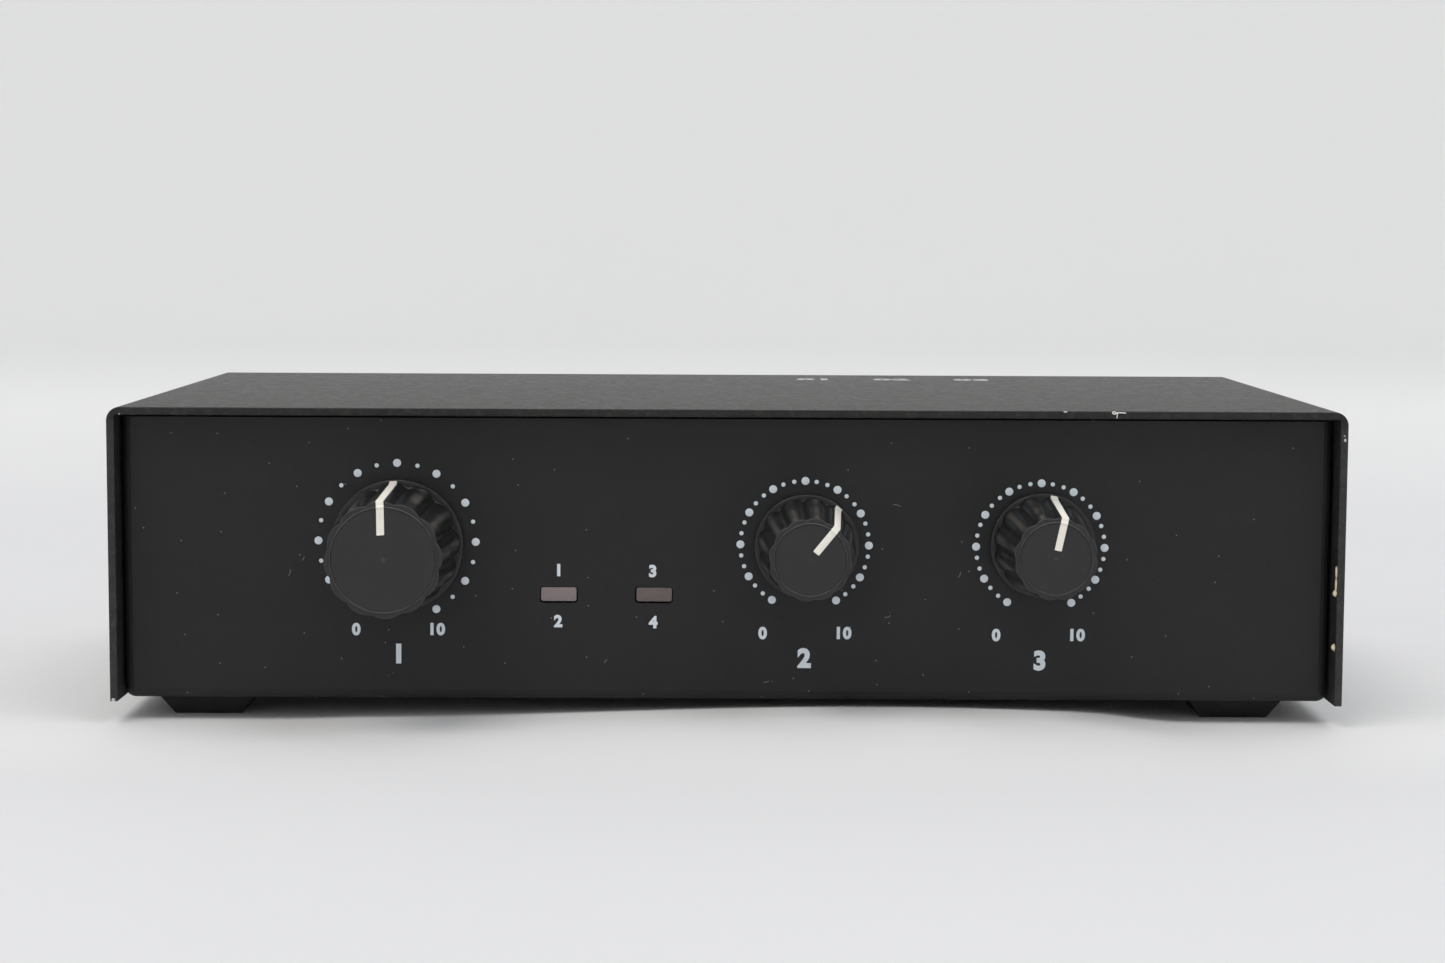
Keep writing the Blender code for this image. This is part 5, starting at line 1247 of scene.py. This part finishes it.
def make_lamp(side):
    """A lens with eased front edges and a brim, on two bent leads."""
    low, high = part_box(f"{side}_lamp")
    width, height = LAMP_SIZE
    middle, z = (low.x + high.x) / 2, high.z - LAMP_BRIM - height / 2
    front = -LAMP_RECESS
    back = front - LAMP_LENGTH
    brim_front = back + LAMP_BRIM_LENGTH
    wide = rounded_outline(width + 2 * LAMP_BRIM, height + 2 * LAMP_BRIM, LAMP_CORNER)
    full = rounded_outline(width, height, LAMP_CORNER)
    levels = [(wide, back), (wide, brim_front), (full, brim_front), (full, front - LAMP_EASE)]
    for down, inset in eased_edge(LAMP_EASE, (0.5, 1)):
        outline = rounded_outline(width - 2 * inset, height - 2 * inset, LAMP_CORNER - inset)
        levels.append((outline, front - down))
    bm = bmesh.new()
    add_loft(bm, levels)
    drop = BOARD_TOP_Z + SEAT_GAP - z
    far, half = back - LEAD_SETBACK, LEAD_WIDTH / 2
    elbow = [(half, back), (-half, back), (-half, far)]
    elbow += [(drop, far), (drop, far - LEAD_WIDTH), (half, far - LEAD_WIDTH)]
    for lead_x in (-LEAD_PITCH / 2, LEAD_PITCH / 2):
        ends = (lead_x - half, lead_x + half)
        skin(bm, [[bm.verts.new((x, *spot)) for spot in elbow] for x in ends], 1, capped=True)
    shift_x, shift_z = LAMP_SHIFTS[side]
    place = front_frame(middle + shift_x, z + shift_z)
    materials = [lenses[side], nickel]
    new_piece(f"{side}_lamp_look", bm, place, materials, nodes=[f"{side}_lamp"])


def make_cover_screw(end, side):
    """A pan head with a cross recess, on a threaded shank."""
    name = f"cover_screw_{end}_{side}"
    low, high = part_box(name)
    place = cover_screw_frame(end, side)
    head = (high.y - low.y) / 2
    crown = max(abs(low.x), abs(high.x)) - CASE_HALF
    length = CASE_HALF - min(abs(low.x), abs(high.x))
    start = -length + SCREW_TIP
    side_top = SEAT_GAP + HEAD_SIDE
    profile = [(0, -length), (SCREW_TIP_RADIUS, -length), (SCREW_RADIUS, start)]
    profile += thread(start, -SCREW_TIP, SCREW_RADIUS, SCREW_ROOT, SCREW_PITCH, SCREW_LAND)
    profile += [(SCREW_RADIUS, SEAT_GAP), (head - HEAD_EDGE, SEAT_GAP)]
    profile += [(head, SEAT_GAP + HEAD_EDGE), (head, side_top)]
    for step in range(1, HEAD_STEPS + 1):
        turn = QUARTER_TURN * step / HEAD_STEPS
        radius = head * math.cos(turn) ** HEAD_FULLNESS if step < HEAD_STEPS else 0
        profile.append((radius, side_top + (crown - SEAT_GAP - HEAD_SIDE) * math.sin(turn)))
    bm = bmesh.new()
    add_turned(bm, profile)
    screw = new_piece(f"{name}_look", bm, place, [screw_black], nodes=[name])
    half = CROSS_HALF_WIDTH
    arm = [Vector(point) for point in ((half, half), (half, CROSS_ARM), (-half, CROSS_ARM))]
    cross = []
    for quarter in range(4):
        turn = Matrix.Rotation(CROSS_TURNS[end] + quarter * QUARTER_TURN, 2)
        cross += [tuple(turn @ point) for point in arm]
    cut_away(screw, [prism(place, cross, crown - CROSS_DEPTH, crown + CROSS_CLEARANCE)])


def socket_frame(node, height):
    """The rear panel's frame at a socket whose body stands this high on the board."""
    return rear_frame(middle_of(node).x, BOARD_TOP_Z + SEAT_GAP + height / 2)


def add_body(bm, width, height, depth, material=0):
    """The moulded body of a socket, behind the rear panel."""
    outline = rounded_outline(width, height, BODY_EASE, 2)
    add_loft(bm, [(outline, PANEL_INSIDE - depth), (outline, PANEL_INSIDE)], material)


def make_body(name, size, seat, place, nodes=()):
    """A moulded body with a round seat for a barrel."""
    bm = bmesh.new()
    add_body(bm, *size)
    body = new_piece(name, bm, place, [black], nodes=nodes)
    cut_away(body, [drill(place, *seat)])


def make_barrel(name, profile, place, nodes=()):
    """The turned part of a socket, of black plastic and nickel."""
    bm = bmesh.new()
    add_turned(bm, profile)
    new_piece(name, bm, place, [black, nickel], nodes=nodes)


def make_jack(name, size, profile):
    """A body with a seat that fits its barrel."""
    place = socket_frame(name, size[1])
    radius, back = max(point[0] for point in profile), min(point[1] for point in profile)
    make_body(f"{name}_look", size, (radius, back, -SHEET / 2), place, [name])
    make_barrel(f"{name}_barrel", profile, place)


def make_phono(spot):
    """A phono socket: a nickel barrel with its insulator and contact, on a moulded body."""
    name = f"phono_socket_{spot}"
    bm = bmesh.new()
    add_body(bm, *PHONO_BODY, material=1)
    add_turned(bm, PHONO_PROFILE)
    place = socket_frame(name, PHONO_BODY[1])
    materials = [nickel, black, white, brass]
    new_piece(f"{name}_look", bm, place, materials, nodes=[name])


def make_paddle():
    """The paddle's jack with its threaded barrel and nut."""
    barrel = [*PADDLE_BARREL, *thread(*PADDLE_THREAD), *PADDLE_RIM]
    make_jack("paddle_jack", PADDLE_BODY, barrel)
    bm = bmesh.new()
    high = SEAT_GAP + PADDLE_NUT_HEIGHT
    skin(bm, bored_hexagon(bm, PADDLE_NUT_ACROSS, high, PADDLE_NUT_BORE, SEAT_GAP), joined=True)
    place = socket_frame("paddle_jack", PADDLE_BODY[1])
    new_piece("paddle_nut_look", bm, place, [nickel], nodes=["paddle_nut"])


def make_power():
    """The power socket: its barrel and pin are one piece, and its body another."""
    place = socket_frame("power_socket", POWER_BODY[1])
    make_barrel("power_socket_look", POWER_PROFILE, place, ["power_socket"])
    make_body("power_body", POWER_BODY, POWER_SEAT, place)


def d_outline(inset, corner):
    """The D socket's outline, drawn in by half the inset on each side."""
    return rounded_outline(D_WIDTH - inset, D_HEIGHT - inset, corner, D_CORNER_STEPS, D_SLANT)


def make_radio_socket():
    """A fifteen-way D socket: a flange, a hollow shell and a black core with contact holes."""
    place = socket_frame("radio_socket", D_FLANGE[1])
    flange_back = PANEL_INSIDE - D_FLANGE_THICKNESS
    flange = rounded_outline(*D_FLANGE)
    bm = bmesh.new()
    add_loft(bm, [(flange, flange_back), (flange, PANEL_INSIDE)])
    plate = new_piece("radio_flange", bm, place, [zinc])
    spots = [place @ Matrix.Translation((side * D_SCREW_SPACING / 2, 0, 0)) for side in (-1, 1)]
    cut_away(plate, [drill(spot, *D_SCREW_HOLE) for spot in spots])

    levels = [(D_SHELL[0][0], PANEL_INSIDE), *D_SHELL, (D_SHELL[-1][0], PANEL_INSIDE)]
    outlines = [(d_outline(inset, D_CORNER - inset / 2), height) for inset, height in levels]
    bm = bmesh.new()
    add_loft(bm, outlines, joined=True)
    new_piece("radio_socket_look", bm, place, [zinc], nodes=["radio_socket"])

    back = rounded_outline(*D_BACK, D_CORNER_STEPS)
    cores = [(d_outline(inset, corner), height) for inset, corner, height in D_CORE]
    levels = [(back, PANEL_INSIDE - D_BACK_DEPTH), (back, flange_back), (cores[0][0], flange_back)]
    bm = bmesh.new()
    add_loft(bm, levels + cores)
    block = new_piece("radio_core", bm, place, [black])
    holes = []
    for row, count in enumerate(D_ROWS):
        up = D_ROW_PITCH * (row - 0.5)
        for index in range(count):
            across = D_CONTACT_PITCH * (index - (count - 1) / 2)
            spot = place @ Matrix.Translation((across, up, 0))
            holes.append(drill(spot, *D_CONTACT))
    cut_away(block, holes)


def make_jack_screw(name):
    """A hexagonal screw beside the D socket, with a blind hole and a stud."""
    bm = bmesh.new()
    high = SEAT_GAP + JACK_SCREW_HEIGHT
    hole_end = high - JACK_SCREW_HOLE_DEPTH
    rows = bored_hexagon(bm, JACK_SCREW_ACROSS, high, JACK_SCREW_HOLE, hole_end)
    skin(bm, rows)
    bm.faces.new(rows[-1])
    radius, end = JACK_SCREW_STUD
    stud = [ring(bm, radius, height, len(rows[0])) for height in (SEAT_GAP, end)]
    bridge(bm, rows[0], stud[0])
    bridge(bm, *stud)
    bm.faces.new(stud[1])
    place = socket_frame(name, D_FLANGE[1])
    new_piece(f"{name}_look", bm, place, [nickel], nodes=[name])


def make_usb():
    """The USB socket: a shell with its port cut out, and a tongue with four contacts."""
    width, height, depth = USB_SIZE
    place = socket_frame("usb_socket", height)
    outer = rounded_outline(width, height, USB_CORNER, 3)
    corner = USB_CORNER - USB_EASE
    eased = rounded_outline(width - 2 * USB_EASE, height - 2 * USB_EASE, corner, 3)
    levels = [(outer, USB_REACH - depth), (outer, USB_REACH - USB_EASE), (eased, USB_REACH)]
    bm = bmesh.new()
    add_loft(bm, levels)
    shell = new_piece("usb_socket_look", bm, place, [nickel], nodes=["usb_socket"])
    half, top, bevel = USB_PORT[0] / 2, USB_PORT[1] / 2, USB_PORT_BEVEL
    port = [(-half, -top), (half, -top), (half, top - bevel)]
    port += [(half - bevel, top), (bevel - half, top), (-half, top - bevel)]
    port_end = USB_REACH - USB_PORT_DEPTH
    cut_away(shell, [prism(place, port, port_end, USB_REACH + USB_PORT_CLEARANCE)])

    bm = bmesh.new()
    whole, tip = [rounded_outline(*size, 2) for size in USB_TONGUE]
    whole_end, tip_end = [USB_REACH - recess for recess in USB_TONGUE_RECESSES]
    add_loft(bm, [(whole, port_end), (whole, whole_end), (tip, tip_end)])
    low, high = [USB_REACH - end for end in USB_CONTACT_ENDS]
    half_x, half_y = USB_CONTACT_HALVES
    for side in (-1, 1):
        for column in (-1, 1):
            x, y = column * USB_CONTACT_ACROSS, side * USB_CONTACT_UP
            contact = [(x - half_x, y - half_y), (x + half_x, y - half_y)]
            contact += [(x + half_x, y + half_y), (x - half_x, y + half_y)]
            add_loft(bm, [(contact, low), (contact, high)], 1)
    new_piece("usb_tongue", bm, place, [white, brass])


def make_ground():
    """The ground post and its ridged thumb nut."""
    middle = middle_of("ground_nut")
    place = rear_frame(middle.x, middle.z)
    profile = [(radius, PANEL_INSIDE + height) for radius, height in GROUND_HEAD]
    profile += thread(PANEL_INSIDE, GROUND_THREAD_END, *GROUND_THREAD)
    bm = bmesh.new()
    add_turned(bm, [*profile, *GROUND_TIP])
    new_piece("ground_post_look", bm, place, [brass], nodes=["ground_post"])
    bm = bmesh.new()
    rows = []
    for radius, height, depth in GROUND_NUT:
        row = []
        for step, (cos, sin) in enumerate(circle(GROUND_RIDGES * GROUND_RIDGE_POINTS)):
            ridge = math.cos(2 * math.pi * step / GROUND_RIDGE_POINTS)
            reach = radius - depth * (1 - ridge) / 2
            row.append(bm.verts.new((reach * cos, reach * sin, SEAT_GAP + height)))
        rows.append(row)
    skin(bm, rows, joined=True)
    new_piece("ground_nut_look", bm, place, [brass], nodes=["ground_nut"])


def floor_swell(x, y):
    """How far the paper arches up between the front feet."""
    across = (x - SWELL_MIDDLE[0]) / SWELL_WIDTH
    along = (y - SWELL_MIDDLE[1]) / SWELL_DEPTH
    edge = min(1.0, max(0.0, (SWELL_END - abs(x)) / SWELL_FADE))
    return SWELL_HEIGHT * math.exp(-(across**2) - along**2) * edge * edge * (3 - 2 * edge)


def make_stage():
    """A round studio bowl: a pale floor that curves up into a wall all round."""
    flat = FLOOR_RINGS[-1]
    levels = [(radius, 0.0) for radius in FLOOR_RINGS[1:]]
    for step in range(1, BOWL_BEND_STEPS + 1):
        turn = QUARTER_TURN * step / BOWL_BEND_STEPS
        levels.append((flat + BOWL_BEND * math.sin(turn), BOWL_BEND * (1 - math.cos(turn))))
    levels.append((flat + BOWL_BEND, BOWL_WALL))
    bm = bmesh.new()
    rows = [[bm.verts.new((0, 0, 0))] * FLOOR_STEPS]
    for radius, height in levels:
        spots = [(radius * cos, radius * sin) for cos, sin in circle(FLOOR_STEPS)]
        rows.append([bm.verts.new((x, y, height + floor_swell(x, y))) for x, y in spots])
    skin(bm, rows)
    mesh = bpy.data.meshes.new("studio_floor")
    bm.to_mesh(mesh)
    bm.free()
    mesh.shade_smooth()
    mesh.materials.append(paper_with_painted_light())
    stage = bpy.data.objects.new("studio_floor", mesh)
    bpy.context.scene.collection.objects.link(stage)


def add_light(name, place, size, power, colour):
    """A rectangular lamp that points at the origin."""
    lamp = bpy.data.lights.new(name, "AREA")
    lamp.shape = "RECTANGLE"
    lamp.size, lamp.size_y = size
    lamp.energy = power
    lamp.color = colour
    light = bpy.data.objects.new(name, lamp)
    light.location = place
    light.rotation_euler = (-Vector(place)).to_track_quat("-Z", "Y").to_euler()
    bpy.context.scene.collection.objects.link(light)


def make_lights():
    """A pale sky and the studio's lamps."""
    world = bpy.data.worlds.new("studio")
    world.use_nodes = True
    sky = world.node_tree.nodes["Background"]
    sky.inputs["Color"].default_value = SKY_COLOUR
    sky.inputs["Strength"].default_value = SKY_STRENGTH
    bpy.context.scene.world = world
    for name, light in LIGHTS.items():
        add_light(name, *light)


def make_camera():
    """The photograph's camera: turned to the right, tilted down and rolled a little."""
    data = bpy.data.cameras.new("camera")
    data.lens = CAMERA_LENS
    data.sensor_width = CAMERA_SENSOR
    camera = bpy.data.objects.new("camera", data)
    x, y, z = CAMERA_PLACE
    flat = math.cos(CAMERA_PITCH)
    ahead = (math.sin(CAMERA_YAW) * flat, math.cos(CAMERA_YAW) * flat, -math.sin(CAMERA_PITCH))
    forward = Vector(ahead)
    level = Vector((math.cos(CAMERA_YAW), -math.sin(CAMERA_YAW), 0))
    over = level.cross(forward)
    right = math.cos(CAMERA_ROLL) * level + math.sin(CAMERA_ROLL) * over
    up = -math.sin(CAMERA_ROLL) * level + math.cos(CAMERA_ROLL) * over
    turn = Matrix((right, up, -forward)).transposed().to_4x4()
    camera.matrix_world = Matrix.Translation((x, PANEL_Y + y, CASE_Z + z)) @ turn
    bpy.context.scene.collection.objects.link(camera)
    bpy.context.scene.camera = camera
    bpy.context.scene.view_settings.view_transform = "Standard"


# The pieces, the backdrop, the light and the camera
make_cover()
make_flakes()
make_curl()
for name, (size, rest) in KNOBS.items():
    make_knob(name, size, rest)
for name, scale in SCALES.items():
    make_scale(name, scale)
panel_numbers = [
    (text, height, front_frame(x, CASE_Z + z) @ Matrix.Rotation(PRINT_TURN, 4, "Z"))
    for text, (x, z), height in PANEL_NUMBERS
]
make_numbers("panel_numbers", panel_numbers, ink)
top_y, top_z = COVER_FRONT + CASE_DEPTH - TOP_SETBACK, CASE_TOP_Z - PRINT_THICKNESS
top_numbers = [(text, TOP_DIGITS, Matrix.Translation((x, top_y, top_z))) for text, x in TOP_NUMBERS]
make_numbers("top_numbers", top_numbers, top_ink)
for side in ("left", "right"):
    make_lamp(side)
for end, side in COVER_SCREWS:
    make_cover_screw(end, side)
for spot in ("inner", "middle", "outer"):
    make_phono(spot)
make_paddle()
for name in ("audio_in_jack", "audio_out_jack"):
    make_jack(name, AUDIO_BODY, AUDIO_PROFILE)
make_power()
make_radio_socket()
for side in ("left", "right"):
    make_jack_screw(f"jack_screw_{side}")
make_usb()
make_ground()
make_stage()
make_lights()
make_camera()

bpy.context.view_layer.update()
